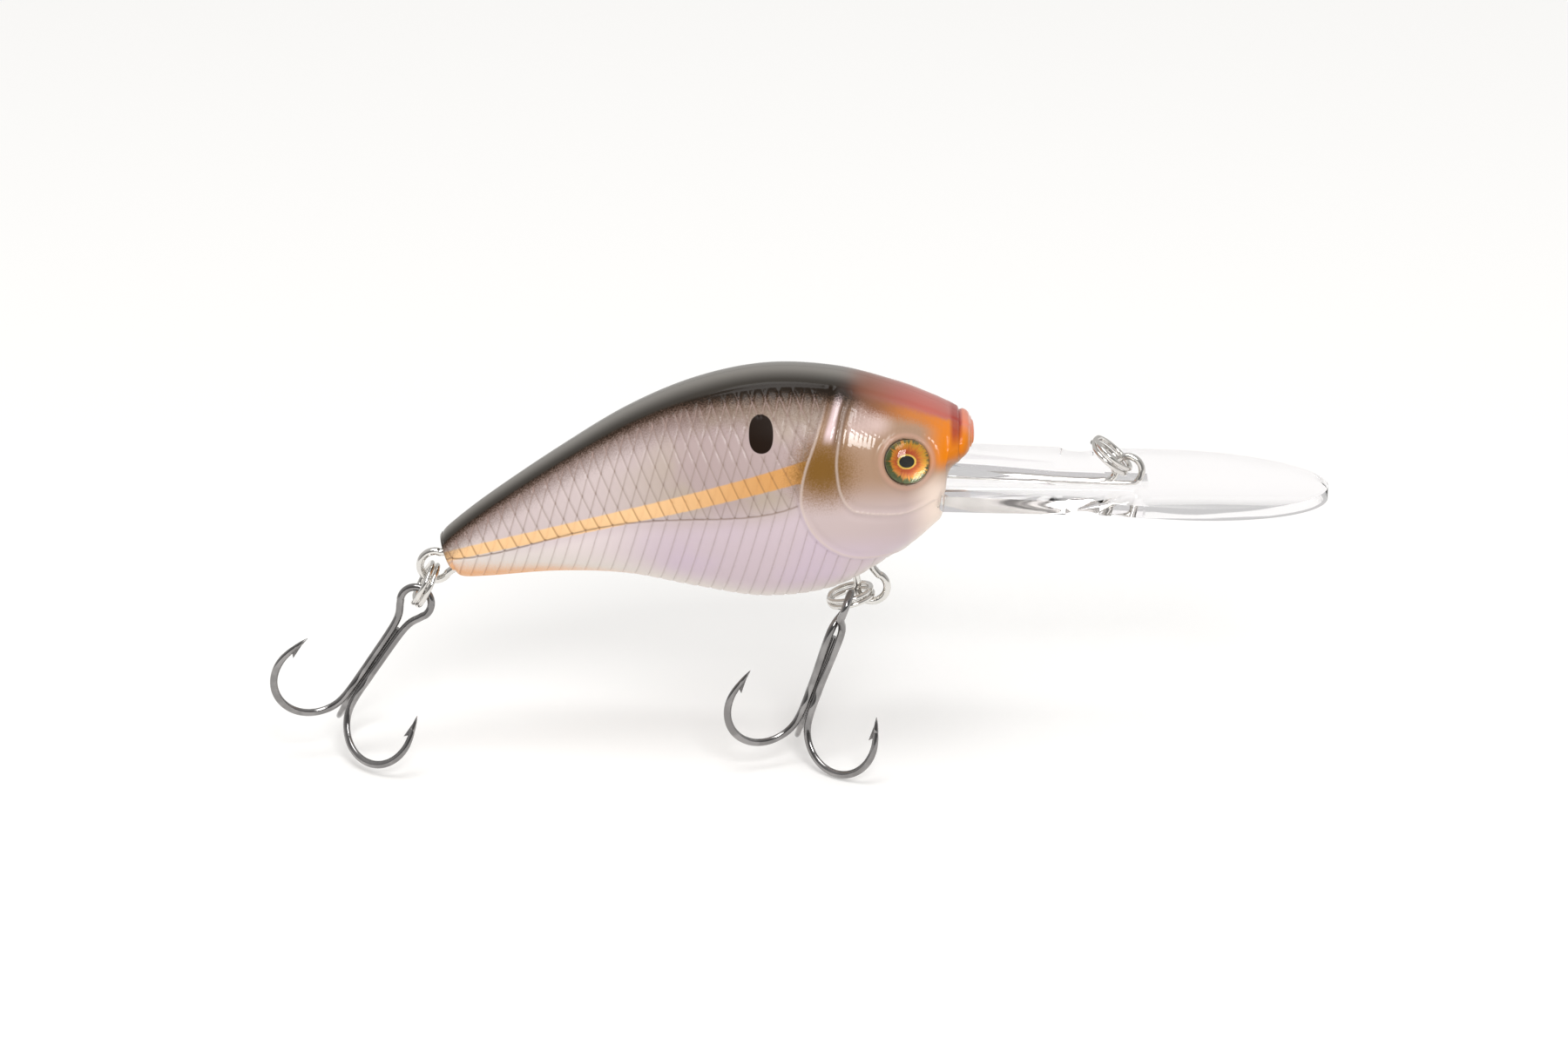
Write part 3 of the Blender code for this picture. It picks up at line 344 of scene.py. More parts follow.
def closed_mesh(name, points):
    """A closed grid object from rows of points, its first and last rows filled in."""
    bm = bmesh.new()
    rings = [[bm.verts.new(Vector(p) * MM) for p in ring] for ring in points]
    for ring, following in zip(rings, rings[1:]):
        for k in range(len(ring)):
            after = (k + 1) % len(ring)
            bm.faces.new((ring[k], ring[after], following[after], following[k]))
    bm.faces.new(rings[0])
    bm.faces.new(rings[-1])
    return outward_object(name, bm)


def carve(piece, cutter, operation="DIFFERENCE"):
    """Applies a Boolean with the cutter, then drops the cutter."""
    modifier = piece.modifiers.new("carve", "BOOLEAN")
    modifier.operation = operation
    modifier.object = cutter
    modifier.solver = "EXACT"
    bpy.context.view_layer.objects.active = piece
    bpy.ops.object.modifier_apply(modifier=modifier.name)
    bpy.data.objects.remove(cutter)


hollow_rows = np.linspace(*CAVITY_ROWS, 25)
inner = body_surface(body_sections(hollow_rows), np.linspace(0, math.pi, 25), SHELL_WALL)
closing = inner[:, ::-1] * np.array((1, 0, 1)) + np.array((0, 1.0, 0))
carve(shell_right, closed_mesh("hollow", np.concatenate([inner, closing], axis=1)))

# Pearl, dark back, stripe, gill dusting, red forehead, orange snout and the spot, then the cuts' own tone.
body_paint = bpy.data.materials.new("sprayed_pearl")
body_paint.use_nodes = True


def add_node(tree, kind, feeds, **settings):
    """Adds a node with its settings, and feeds its inputs with values or with other nodes' outputs."""
    node = tree.nodes.new(kind)
    for name, value in settings.items():
        setattr(node, name, value)
    for socket, value in feeds.items():
        if isinstance(value, bpy.types.NodeSocket):
            tree.links.new(value, node.inputs[socket])
        elif isinstance(value, tuple) and len(value) == 3 and node.inputs[socket].type == "RGBA":
            node.inputs[socket].default_value = (*value, 1.0)
        else:
            node.inputs[socket].default_value = value
    return node


def measure(tree, name):
    return add_node(tree, "ShaderNodeAttribute", {}, attribute_name=name).outputs["Fac"]


def noise(tree, place, scale, detail):
    feeds = {"Vector": place, "Scale": scale, "Detail": detail}
    return add_node(tree, "ShaderNodeTexNoise", feeds).outputs["Fac"]


def fade(tree, value, start, end):
    """0 at the start and 1 at the end, smooth between. A start above the end turns it round."""
    feeds = {"Value": value, "From Min": start, "From Max": end}
    return add_node(tree, "ShaderNodeMapRange", feeds, interpolation_type="SMOOTHSTEP").outputs["Result"]


def times(tree, *values):
    result = values[0]
    for value in values[1:]:
        result = add_node(tree, "ShaderNodeMath", {0: result, 1: value}, operation="MULTIPLY").outputs[0]
    return result


def plus(tree, a, b):
    return add_node(tree, "ShaderNodeMath", {0: a, 1: b}, operation="ADD").outputs[0]


def reach(tree, a, b):
    """How far a point is from the middle, from its two offsets."""
    square = plus(tree, times(tree, a, a), times(tree, b, b))
    return add_node(tree, "ShaderNodeMath", {0: square}, operation="SQRT").outputs[0]


def spray(tree, under, colour, amount):
    """The colour over what is under it, as much as the amount says."""
    feeds = {0: amount, 6: under, 7: colour}
    return add_node(tree, "ShaderNodeMix", feeds, data_type="RGBA").outputs[2]


def cut_lines(tree, phase, width):
    """1 on the middle of each cut of the lattice, 0 away from it."""
    share = add_node(tree, "ShaderNodeMath", {0: phase}, operation="FRACT").outputs[0]
    off = add_node(tree, "ShaderNodeMath", {0: share, 1: 0.5}, operation="SUBTRACT").outputs[0]
    away = add_node(tree, "ShaderNodeMath", {0: off}, operation="ABSOLUTE").outputs[0]
    return fade(tree, away, 0.5 - width / LATTICE_PITCH, 0.5 - 0.3 * width / LATTICE_PITCH)


tree = body_paint.node_tree
back, belly, over = measure(tree, "back_reach"), measure(tree, "from_belly"), measure(tree, "over_line")
gill, cheek, eye = measure(tree, "gill_edge"), measure(tree, "cheek_edge"), measure(tree, "from_eye")
scales, crest = measure(tree, "scaled"), measure(tree, "head_top")
where = add_node(tree, "ShaderNodeTexCoord", {}).outputs["Object"]
axes = add_node(tree, "ShaderNodeSeparateXYZ", {0: where})
along = times(tree, axes.outputs["X"], 1000.0)
up = times(tree, axes.outputs["Z"], 1000.0)
speckle = plus(tree, noise(tree, where, 5200.0, 2.0), -0.5)
cloud = noise(tree, where, 90.0, 3.0)

# Pearl: beige above the side line, lavender below it, silvery on the belly, paler towards the tail, and
# dusted orange along the tail's lower edge.
colour = spray(tree, (0.44, 0.355, 0.29), (0.44, 0.34, 0.33), fade(tree, cloud, 0.40, 0.60))
colour = spray(tree, colour, (0.60, 0.50, 0.49), fade(tree, along, -54.0, -70.0))
colour = spray(tree, colour, (0.60, 0.49, 0.53), fade(tree, over, 2.5, -2.5))
lavender = times(tree, fade(tree, over, 0.0, -2.5), fade(tree, cloud, 0.42, 0.66))
colour = spray(tree, colour, (0.60, 0.48, 0.59), times(tree, lavender, 0.55))
tail_pearl = times(tree, fade(tree, along, -56.0, -72.0), fade(tree, over, 1.0, -2.0))
colour = spray(tree, colour, (0.76, 0.66, 0.65), tail_pearl)
colour = spray(tree, colour, (0.72, 0.65, 0.60), fade(tree, belly, 9.5, 4.0))
by_belly = fade(tree, plus(tree, belly, times(tree, speckle, 2.0)), 5.6, 2.0)
tail_dust = times(tree, fade(tree, along, -58.0, -76.0), by_belly)
colour = spray(tree, colour, (0.80, 0.38, 0.14), times(tree, tail_dust, 0.9))
# Head: beige over the cheek, lavender under it, cream on the chin.
head = fade(tree, gill, -0.05, 0.25)
colour = spray(tree, colour, (0.56, 0.45, 0.44), times(tree, head, fade(tree, up, -9.0, -4.0)))
colour = spray(tree, colour, (0.36, 0.215, 0.125), times(tree, head, fade(tree, up, -3.0, 3.0), 0.9))
chin_light = times(tree, fade(tree, along, -29.0, -24.0), fade(tree, up, 4.0, -0.5))
colour = spray(tree, colour, (0.92, 0.76, 0.65), times(tree, head, chin_light))
# The stripe's two straight edges open towards the head.
stripe_top = plus(tree, plus(tree, times(tree, along, 0.325), 18.1), times(tree, up, -1.0))
stripe_low = plus(tree, up, plus(tree, times(tree, along, -0.298), -14.35))
stripe = times(tree, fade(tree, stripe_top, -0.14, 0.14), fade(tree, stripe_low, -0.14, 0.14))
stripe = times(tree, stripe, fade(tree, gill, 0.15, -0.05))
peach = spray(tree, (0.88, 0.56, 0.29), (0.62, 0.31, 0.105), fade(tree, along, -66.0, -43.5))
colour = spray(tree, colour, peach, stripe)
# Olive dusting over the gill cover, thickest on its rear half and thin behind it.
DUST_X, DUST_Z, DUST_HALF_LENGTH, DUST_HALF_HEIGHT = -39.3, 3.6, 4.4, 4.6
far_x = times(tree, plus(tree, along, -DUST_X), 1 / DUST_HALF_LENGTH)
far_z = times(tree, plus(tree, up, -DUST_Z), 1 / DUST_HALF_HEIGHT)
dust = fade(tree, plus(tree, reach(tree, far_x, far_z), times(tree, speckle, 0.9)), 1.36, 0.22)
colour = spray(tree, colour, (0.19, 0.088, 0.012), times(tree, dust, fade(tree, gill, -6.5, -0.2), 0.95))
# Pearl on the raised band and the temple, and dark brown painted shade in the groove along the cheek's edge
# beside the band.
band = times(tree, fade(tree, gill, 0.7, 1.4), fade(tree, cheek, -0.4, -0.9), fade(tree, up, 6.4, 8.2))
colour = spray(tree, colour, (0.86, 0.66, 0.67), times(tree, band, 0.95))
# Painted shade: dark brown along the cheek's edge, where the groove beside the raised band lies in shadow.
furrow_painted_shade = times(tree, fade(tree, cheek, -1.1, -0.5), fade(tree, cheek, 0.7, 0.1), fade(tree, up, 5.0, 8.0))
colour = spray(tree, colour, (0.16, 0.085, 0.05), times(tree, furrow_painted_shade, 0.75))
temple = times(tree, fade(tree, cheek, 0.5, 1.2), fade(tree, up, 6.8, 8.8), fade(tree, along, -29.5, -32.5))
colour = spray(tree, colour, (0.66, 0.49, 0.45), times(tree, temple, 0.85))
# Pale along the gill cover's ridges: the dusting is thin there, so that the pearl shows, and a painted
# highlight lies along their crests.
ridge_pearl_and_highlight = plus(tree, times(tree, fade(tree, cheek, -0.3, -0.05), fade(tree, cheek, 0.3, 0.05)),
             times(tree, fade(tree, gill, -0.15, 0.1), fade(tree, gill, 0.45, 0.2)))
colour = spray(tree, colour, (0.66, 0.54, 0.48), times(tree, ridge_pearl_and_highlight, fade(tree, back, 5.0, 7.0), 0.5))
# Each cut of the lattice shows: brown on the stripe, grey-brown elsewhere, pink where the back is dark.
slant_back = cut_lines(tree, measure(tree, "leaning_back"), 0.16)
slant_forward = cut_lines(tree, measure(tree, "leaning_forward"), 0.15)
over_side = fade(tree, over, -0.1, 0.1)
colour = spray(tree, colour, (0.36, 0.19, 0.075), times(tree, slant_back, stripe, 0.6))
lattice = plus(tree, times(tree, slant_back, over_side), slant_forward)
off_stripe = plus(tree, times(tree, stripe, -1.0), 1.0)
line_strength = plus(tree, times(tree, over_side, 0.10), 0.28)
colour = spray(tree, colour, (0.29, 0.22, 0.18), times(tree, lattice, scales, off_stripe, line_strength))
side_cut = times(tree, fade(tree, over, -0.22, -0.02), fade(tree, over, 0.22, 0.02), scales)
colour = spray(tree, colour, (0.22, 0.15, 0.11), times(tree, side_cut, 0.6))
# Dark back: black paint, with a painted reflection on the smooth band (grey at its top fading to charcoal
# towards its edge), black along its edge, then brown that thins out down the flank.
haze = plus(tree, back, times(tree, speckle, 3.0))
haze = plus(tree, haze, times(tree, fade(tree, along, -46.0, -60.0), 1.6))
not_head = fade(tree, along, -31.5, -37.5)
off_pearl = plus(tree, times(tree, band, -0.65), 1.0)
brown = times(tree, fade(tree, haze, 12.0, 5.8), not_head, off_pearl, 0.94)
colour = spray(tree, colour, (0.115, 0.062, 0.038), brown)
pink_lines = times(tree, plus(tree, slant_forward, slant_back), scales, brown)
colour = spray(tree, colour, (0.42, 0.30, 0.27), times(tree, pink_lines, fade(tree, back, 5.0, 6.0), 0.6))
colour = spray(tree, colour, (0.012, 0.006, 0.002), fade(tree, haze, 7.8, 5.3))
on_band = fade(tree, back, 4.5, BAND_EDGE)
# Painted reflection: the black band is lightened to grey along its top, as the soft boxes would show in its
# gloss.
band_painted_reflection = spray(tree, (0.19, 0.175, 0.155), (0.040, 0.034, 0.028), fade(tree, back, 0.6, 3.8))
colour = spray(tree, colour, band_painted_reflection, on_band)
# Forehead: brown then orange over the brow, and a muted red on the crown.
brow_edge = fade(tree, plus(tree, back, times(tree, speckle, 1.6)), 8.8, 6.4)
brow = times(tree, fade(tree, along, -36.5, -32.5), brow_edge)
brow_tone = spray(tree, (0.22, 0.085, 0.035), (0.60, 0.19, 0.03), fade(tree, along, -33.5, -27.0))
colour = spray(tree, colour, brow_tone, times(tree, brow, 0.95))
crown_edge = fade(tree, plus(tree, back, times(tree, speckle, 1.2)), 6.2, 4.4)
crown = times(tree, fade(tree, along, -38.0, -29.0), crown_edge)
crown_tone = spray(tree, (0.27, 0.10, 0.075), (0.50, 0.13, 0.10), fade(tree, along, -34.0, -25.0))
colour = spray(tree, colour, crown_tone, crown)
# Snout: orange down to a point at the mouth's corner, a pink nose cap, dark red each side of the mouth.
snout = times(tree, fade(tree, along, -27.2, -23.6), fade(tree, up, 2.2, 4.6))
colour = spray(tree, colour, (0.72, 0.20, 0.004), times(tree, snout, fade(tree, back, 4.6, 6.0)))
cap = fade(tree, along, -21.7, -21.2)
colour = spray(tree, colour, (0.80, 0.24, 0.13), times(tree, cap, fade(tree, back, 9.0, 4.0), 0.9))
mouth_x = plus(tree, along, 22.3)
mouth = times(tree, fade(tree, mouth_x, -0.9, -0.2), fade(tree, mouth_x, 1.1, 0.5))
mouth = times(tree, mouth, fade(tree, up, 5.0, 7.2), fade(tree, up, 10.0, 8.6))
colour = spray(tree, colour, (0.34, 0.025, 0.012), times(tree, mouth, 0.85))
# A pink line round the socket, and the black spot behind the gill.
socket_line = times(tree, fade(tree, eye, 3.0, 3.25), fade(tree, eye, 3.95, 3.5))
colour = spray(tree, colour, (0.60, 0.34, 0.26), times(tree, socket_line, 0.38))
spot_x = times(tree, plus(tree, along, -SPOT_X), 1 / SPOT_HALF_LENGTH)
spot_z = times(tree, plus(tree, up, -SPOT_Z), 1 / SPOT_HALF_HEIGHT)
z_square = times(tree, spot_z, spot_z)
z_part = times(tree, z_square, plus(tree, times(tree, z_square, 0.5), 0.5))
spot = fade(tree, plus(tree, times(tree, spot_x, spot_x), z_part), 1.08, 0.92)
colour = spray(tree, colour, (0.010, 0.003, 0.0), spot)
shader = tree.nodes["Principled BSDF"]
tree.links.new(colour, shader.inputs["Base Color"])
shader.inputs["Roughness"].default_value = 0.34
shader.inputs["Specular IOR Level"].default_value = 0.12
# The clear gloss lies thickest on the head's top and on the back.
glossy = plus(tree, crest, times(tree, on_band, fade(tree, back, BAND_EDGE, 3.0), 0.5))
coat = plus(tree, times(tree, glossy, 0.8), plus(tree, times(tree, spot, -0.10), 0.12))
tree.links.new(coat, shader.inputs["Coat Weight"])
shader.inputs["Coat Roughness"].default_value = 0.04
shell_right.data.materials.clear()
shell_right.data.materials.append(body_paint)

bpy.ops.object.select_all(action="DESELECT")
shell_right.select_set(True)
bpy.context.view_layer.objects.active = shell_right
bpy.ops.object.shade_smooth_by_angle(angle=math.radians(45))
shell_left_mesh = shell_right.data.copy()
shell_left_mesh.transform(Matrix.Diagonal((1, -1, 1, 1)))
shell_left_mesh.flip_normals()
shell_left = bpy.data.objects.new("painted_shell_left", shell_left_mesh)
bpy.context.scene.collection.objects.link(shell_left)
for shell, node in ((shell_right, "body_shell_right"), (shell_left, "body_shell_left")):
    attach(shell, "lure")
    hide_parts(node)

# The eyes: a printed foil disc at the bottom of each socket, under a clear cast dome. The print is a black
# oval pupil in a thin gold ring, streaked red to yellow, with a green outer ring and a black edge.
EYE_RADIUS, EDGE_ROUND = 2.80, 0.08
DISC_THICKNESS = 0.4
DOME_RIM, DOME_CROWN, DOME_GAP, DOME_LIFT, DOME_STEPS = 0.6, 0.95, 0.18, 0.05, 15
PUPIL_HALF_WIDTH, PUPIL_HALF_HEIGHT = 0.93, 0.72


def turned_piece(name, outline, side, count=72):
    """Turns an outline of (radius, height) points about the eye's axis on one side of the head."""
    axis = Vector(eye_axis) if side == "right" else Vector(eye_axis * np.array((1, -1, 1)))
    middle = Vector(eye_centre) if side == "right" else Vector(eye_centre * np.array((1, -1, 1)))
    upright = (Vector((0, 0, 1)) - axis * axis.z).normalized()
    forward = upright.cross(axis) * (1 if side == "right" else -1)
    bpy.ops.object.select_all(action="DESELECT")
    bpy.ops.mesh.primitive_circle_add(vertices=count, radius=1.0, fill_type="NOTHING")
    piece = bpy.context.object
    piece.name = name
    bm = bmesh.new()
    rings = []
    for radius, height in outline:
        if radius == 0:
            rings.append([bm.verts.new(middle + axis * height)] * count)
            continue
        ring = []
        for k in range(count):
            turn = math.tau * k / count
            ring.append(bm.verts.new(middle + axis * height
                                     + radius * (forward * math.cos(turn) + upright * math.sin(turn))))
        rings.append(ring)
    for ring, following in zip(rings, rings[1:]):
        for k in range(count):
            after = (k + 1) % count
            corners = dict.fromkeys((ring[k], ring[after], following[after], following[k]))
            bm.faces.new(list(corners))
    bm.normal_update()
    bmesh.ops.recalc_face_normals(bm, faces=bm.faces)
    layer = bm.loops.layers.uv.new("print")
    for face in bm.faces:
        for loop in face.loops:
            away = loop.vert.co - middle
            loop[layer].uv = (away.dot(forward), away.dot(upright))
    bmesh.ops.scale(bm, vec=(MM, MM, MM), verts=bm.verts)
    bm.to_mesh(piece.data)
    bm.free()
    piece.data.shade_smooth()
    piece.data.set_sharp_from_angle(angle=math.radians(35))
    return piece


iris_print = bpy.data.materials.new("iris_foil_print")
iris_print.use_nodes = True
tree = iris_print.node_tree
place = add_node(tree, "ShaderNodeUVMap", {}, uv_map="print").outputs["UV"]
spread = add_node(tree, "ShaderNodeSeparateXYZ", {0: place})
radius = add_node(tree, "ShaderNodeVectorMath", {0: place}, operation="LENGTH").outputs["Value"]
across_up = {0: spread.outputs["Y"], 1: spread.outputs["X"]}
angle = add_node(tree, "ShaderNodeMath", across_up, operation="ARCTAN2").outputs[0]
ray_place = {"X": times(tree, angle, 9.0), "Y": times(tree, radius, 0.55)}
ray_place = add_node(tree, "ShaderNodeCombineXYZ", ray_place).outputs[0]
rays = noise(tree, ray_place, 1.0, 1.5)
ray_push = times(tree, plus(tree, rays, -0.5), 3.2)
streaked = plus(tree, radius, ray_push)
colour = spray(tree, (0.50, 0.05, 0.006), (0.72, 0.20, 0.012), fade(tree, streaked, 0.9, 1.6))
colour = spray(tree, colour, (0.74, 0.36, 0.012), fade(tree, streaked, 1.4, 2.2))
rust = times(tree, fade(tree, rays, 0.48, 0.60), fade(tree, radius, 2.35, 1.5))
colour = spray(tree, colour, (0.42, 0.035, 0.008), times(tree, rust, 0.8))
aft = plus(tree, times(tree, spread.outputs["X"], -0.13), times(tree, spread.outputs["Y"], -0.07))
green_reach = plus(tree, radius, plus(tree, aft, times(tree, ray_push, 0.4)))
colour = spray(tree, colour, (0.060, 0.085, 0.010), fade(tree, green_reach, 1.98, 2.34))
colour = spray(tree, colour, (0.010, 0.010, 0.008), fade(tree, radius, 2.50, 2.60))
wide = times(tree, spread.outputs["X"], 1 / PUPIL_HALF_WIDTH)
tall = times(tree, spread.outputs["Y"], 1 / PUPIL_HALF_HEIGHT)
oval = reach(tree, wide, tall)
gold_reach = plus(tree, oval, times(tree, ray_push, 0.12))
colour = spray(tree, colour, (0.85, 0.58, 0.09), fade(tree, gold_reach, 1.32, 1.20))
colour = spray(tree, colour, (0.006, 0.005, 0.004), fade(tree, oval, 1.05, 0.97))
shader = tree.nodes["Principled BSDF"]
tree.links.new(colour, shader.inputs["Base Color"])
shader.inputs["Roughness"].default_value = 0.35
shader.inputs["Metallic"].default_value = 0.25

clear_dome = bpy.data.materials.new("clear_cast_resin")
clear_dome.use_nodes = True
shader = clear_dome.node_tree.nodes["Principled BSDF"]
shader.inputs["Base Color"].default_value = (1.0, 1.0, 1.0, 1)
shader.inputs["Roughness"].default_value = 0.015
shader.inputs["IOR"].default_value = 1.34
shader.inputs["Transmission Weight"].default_value = 1.0

disc_low = float(((disc - eye_centre) @ eye_axis).min())
disc_top = disc_low + DISC_THICKNESS
dome_base = disc_top + DOME_LIFT
rim = dome_base + DOME_RIM + DOME_GAP - DOME_LIFT
for side in ("right", "left"):
    outline = [(0, disc_low), (EYE_RADIUS - EDGE_ROUND, disc_low), (EYE_RADIUS, disc_low + EDGE_ROUND),
               (EYE_RADIUS, disc_top - EDGE_ROUND), (EYE_RADIUS - EDGE_ROUND, disc_top)]
    outline += [(r, disc_top) for r in (2.3, 1.6, 0.9, 0)]
    iris = turned_piece(f"iris_disc_{side}", outline, side)
    iris.data.materials.append(iris_print)
    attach(iris, "lure")
    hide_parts(f"eye_iris_{side}")
    outline = [(0, dome_base), (EYE_RADIUS - 0.1, dome_base), (EYE_RADIUS, dome_base + 0.1)]
    for k in range(DOME_STEPS):
        swing = math.pi / 2 * k / DOME_STEPS
        outline.append((EYE_RADIUS * math.cos(swing) ** 0.9, rim + DOME_CROWN * math.sin(swing)))
    outline.append((0, rim + DOME_CROWN))
    dome = turned_piece(f"eye_dome_{side}", outline, side)
    dome.data.materials.append(clear_dome)
    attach(dome, "lure")
    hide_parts(f"eye_lens_{side}")

# The diving lip: one clear polycarbonate moulding. Its tang is cemented in the head, a wedge stiffens its
# root, two scallops stand where the blade begins, and a slot takes the line tie's wire.
LIP_ROOT, LIP_BLADE, LIP_TOP_AT_TIE = 2.1, 1.6, -1.0
LIP_PITCH = math.tan(math.radians(2.5))
NECK_HALF, BLADE_HALF = 10.4, 11.2
SCALLOP_X, SCALLOP_REACH, SCALLOP_DEPTH = -6.2, 2.2, 1.5
BLADE_START, LIP_REACH = 6.5, 25.7
SHOULDER, TANG_LENGTH, TANG_HALF, CORNER = 2.6, 10.0, 5.0, 1.5
GUSSET_FRONT, GUSSET_STAND, GUSSET_RUN_OUT = CHIN_X + 13.5, 1.9, 0.04
GUSSET_ROOT_HALF, GUSSET_FRONT_HALF, GUSSET_SINK = 2.0, 4.3, 1.0
SLOT_HALF, LEG_COVER = 1.5, 0.35
SCALLOP_STEPS, BLADE_STEPS = 24, 48


def lip_top(x):
    return LIP_TOP_AT_TIE - LIP_PITCH * x


def lip_bottom(x):
    share = min(max((x - CHIN_X) / -CHIN_X, 0), 1)
    return lip_top(x) - LIP_ROOT - (LIP_BLADE - LIP_ROOT) * share


shoulder_x = CHIN_X - SHOULDER
tang_end = shoulder_x - TANG_LENGTH
half_edge = [(tang_end, 0), (tang_end, TANG_HALF - CORNER), (tang_end + CORNER, TANG_HALF),
             (shoulder_x, TANG_HALF), (shoulder_x + 0.35 * SHOULDER, NECK_HALF - CORNER),
             (shoulder_x + 0.6 * SHOULDER, NECK_HALF)]
half_edge += [(x, NECK_HALF) for x in np.linspace(-20, -10, 5)]
for k in range(SCALLOP_STEPS + 1):
    turn = math.pi * k / SCALLOP_STEPS
    depth = SCALLOP_DEPTH * math.sin(turn) ** 1.3
    half_edge.append((SCALLOP_X - SCALLOP_REACH * math.cos(turn), NECK_HALF - depth))
scallop_end = SCALLOP_X + SCALLOP_REACH
for share in (0.2, 0.4, 0.6, 0.8):
    widening = (BLADE_HALF - NECK_HALF) * math.sin(math.pi / 2 * share)
    half_edge.append((scallop_end + (BLADE_START - scallop_end) * share, NECK_HALF + widening))
for k in range(BLADE_STEPS + 1):
    turn = math.pi / 2 * k / BLADE_STEPS
    half_edge.append((BLADE_START + (LIP_REACH - BLADE_START) * math.sin(turn), BLADE_HALF * math.cos(turn)))
half_edge[-1] = (LIP_REACH, 0)
lip_edge = half_edge + [(x, -y) for x, y in reversed(half_edge[1:-1])]
bpy.ops.object.select_all(action="DESELECT")
bpy.ops.mesh.primitive_circle_add(vertices=len(lip_edge), radius=1.0, fill_type="NGON")
lip = bpy.context.object
lip.name = "clear_lip"
for vertex, (x, y) in zip(lip.data.vertices, lip_edge):
    vertex.co = Vector((x, y, lip_top(x))) * MM
bpy.ops.object.mode_set(mode="EDIT")
bpy.ops.mesh.select_all(action="SELECT")
bpy.ops.mesh.extrude_region_move(TRANSFORM_OT_translate={"value": (0, 0, -MM)})
bpy.ops.object.mode_set(mode="OBJECT")
for vertex in list(lip.data.vertices)[len(lip_edge):]:
    vertex.co.z = lip_bottom(vertex.co.x / MM) * MM
bpy.ops.object.mode_set(mode="EDIT")
bpy.ops.mesh.select_all(action="SELECT")
bpy.ops.mesh.normals_make_consistent(inside=False)
bpy.ops.object.mode_set(mode="OBJECT")


def clean_box(name, corners):
    """A closed six-sided piece across the lip, from four corners, each with its half width."""
    return closed_mesh(name, [[(x, side * half, z) for x, z, half in corners] for side in (-1, 1)])


root_top, front_top = lip_top(shoulder_x), lip_top(GUSSET_FRONT)
gusset = clean_box("gusset", [(shoulder_x, root_top - GUSSET_SINK, GUSSET_ROOT_HALF),
                              (GUSSET_FRONT, front_top - GUSSET_SINK, GUSSET_FRONT_HALF),
                              (GUSSET_FRONT, front_top + GUSSET_RUN_OUT, GUSSET_FRONT_HALF),
                              (shoulder_x, root_top + GUSSET_STAND, GUSSET_ROOT_HALF)])
carve(lip, gusset, "UNION")
bevel = lip.modifiers.new("soft_edges", "BEVEL")
bevel.width = 0.22 * MM
bevel.segments = 3
bevel.limit_method = "ANGLE"
bevel.angle_limit = math.radians(38)
bpy.context.view_layer.objects.active = lip
bpy.ops.object.modifier_apply(modifier=bevel.name)
# The legs lie in a groove from below, and the loop comes up through a slot.
rear, fore, below = tang_end - 1, 1.75, -9.0
carve(lip, clean_box("leg_groove", [(rear, below, SLOT_HALF), (fore, below, SLOT_HALF),
                                    (fore, lip_top(fore) - LEG_COVER, SLOT_HALF),
                                    (rear, lip_top(rear) - LEG_COVER, SLOT_HALF)]))
carve(lip, clean_box("tie_slot", [(-2.94, -4.0, SLOT_HALF), (2.5, -4.0, SLOT_HALF), (2.5, 2.0, SLOT_HALF),
                                  (-2.94, 2.0, SLOT_HALF)]))
lip.data.shade_smooth()
lip.data.set_sharp_from_angle(angle=math.radians(30))
clear_plastic = bpy.data.materials.new("clear_polycarbonate")
clear_plastic.use_nodes = True
shader = clear_plastic.node_tree.nodes["Principled BSDF"]
shader.inputs["Base Color"].default_value = (0.985, 0.975, 0.985, 1)
shader.inputs["Roughness"].default_value = 0.03
shader.inputs["IOR"].default_value = 1.10
shader.inputs["Transmission Weight"].default_value = 1.0
lip.data.materials.clear()
lip.data.materials.append(clear_plastic)
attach(lip, "lure")
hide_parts("diving_lip")

# The wires: stainless spring wire bent in the parting plane. The line tie runs back through the lip, and
# each hanger's two legs splay in the body so that they can't pull out.
joints = {joint["name"]: Vector(joint.get("pos_m", (0, 0, 0))) / MM for joint in frame["joints"]}


def in_plane(degrees):
    return Vector((math.cos(math.radians(degrees)), 0, math.sin(math.radians(degrees))))


def wire_piece(name, points, radii, steps=6, sides=5):
    """A closed round wire on a smooth path through the points, in millimetres, with a radius at each."""
    ends = np.array([list(p) + [r] for p, r in zip(points, radii)])
    fine = smooth_through(ends, np.linspace(0, len(ends) - 1, (len(ends) - 1) * steps + 1))
    curve = bpy.data.curves.new(name, "CURVE")
    curve.dimensions = "3D"
    curve.bevel_depth = MM
    curve.bevel_resolution = sides
    curve.use_fill_caps = True
    spline = curve.splines.new("POLY")
    spline.points.add(len(fine) - 1)
    for point, (x, y, z, r) in zip(spline.points, fine):
        point.co = (x * MM, y * MM, z * MM, 1)
        point.radius = r
    bpy.ops.object.select_all(action="DESELECT")
    wire = bpy.data.objects.new(name, curve)
    bpy.context.scene.collection.objects.link(wire)
    wire.select_set(True)
    bpy.context.view_layer.objects.active = wire
    bpy.ops.object.convert(target="MESH")
    wire = bpy.context.object
    bpy.ops.object.mode_set(mode="EDIT")
    bpy.ops.mesh.select_all(action="SELECT")
    bpy.ops.mesh.remove_doubles(threshold=0.003 * MM)
    bpy.ops.mesh.normals_make_consistent(inside=False)
    bpy.ops.object.mode_set(mode="OBJECT")
    wire.data.shade_smooth()
    wire.data.set_sharp_from_angle(angle=math.radians(50))
    return wire


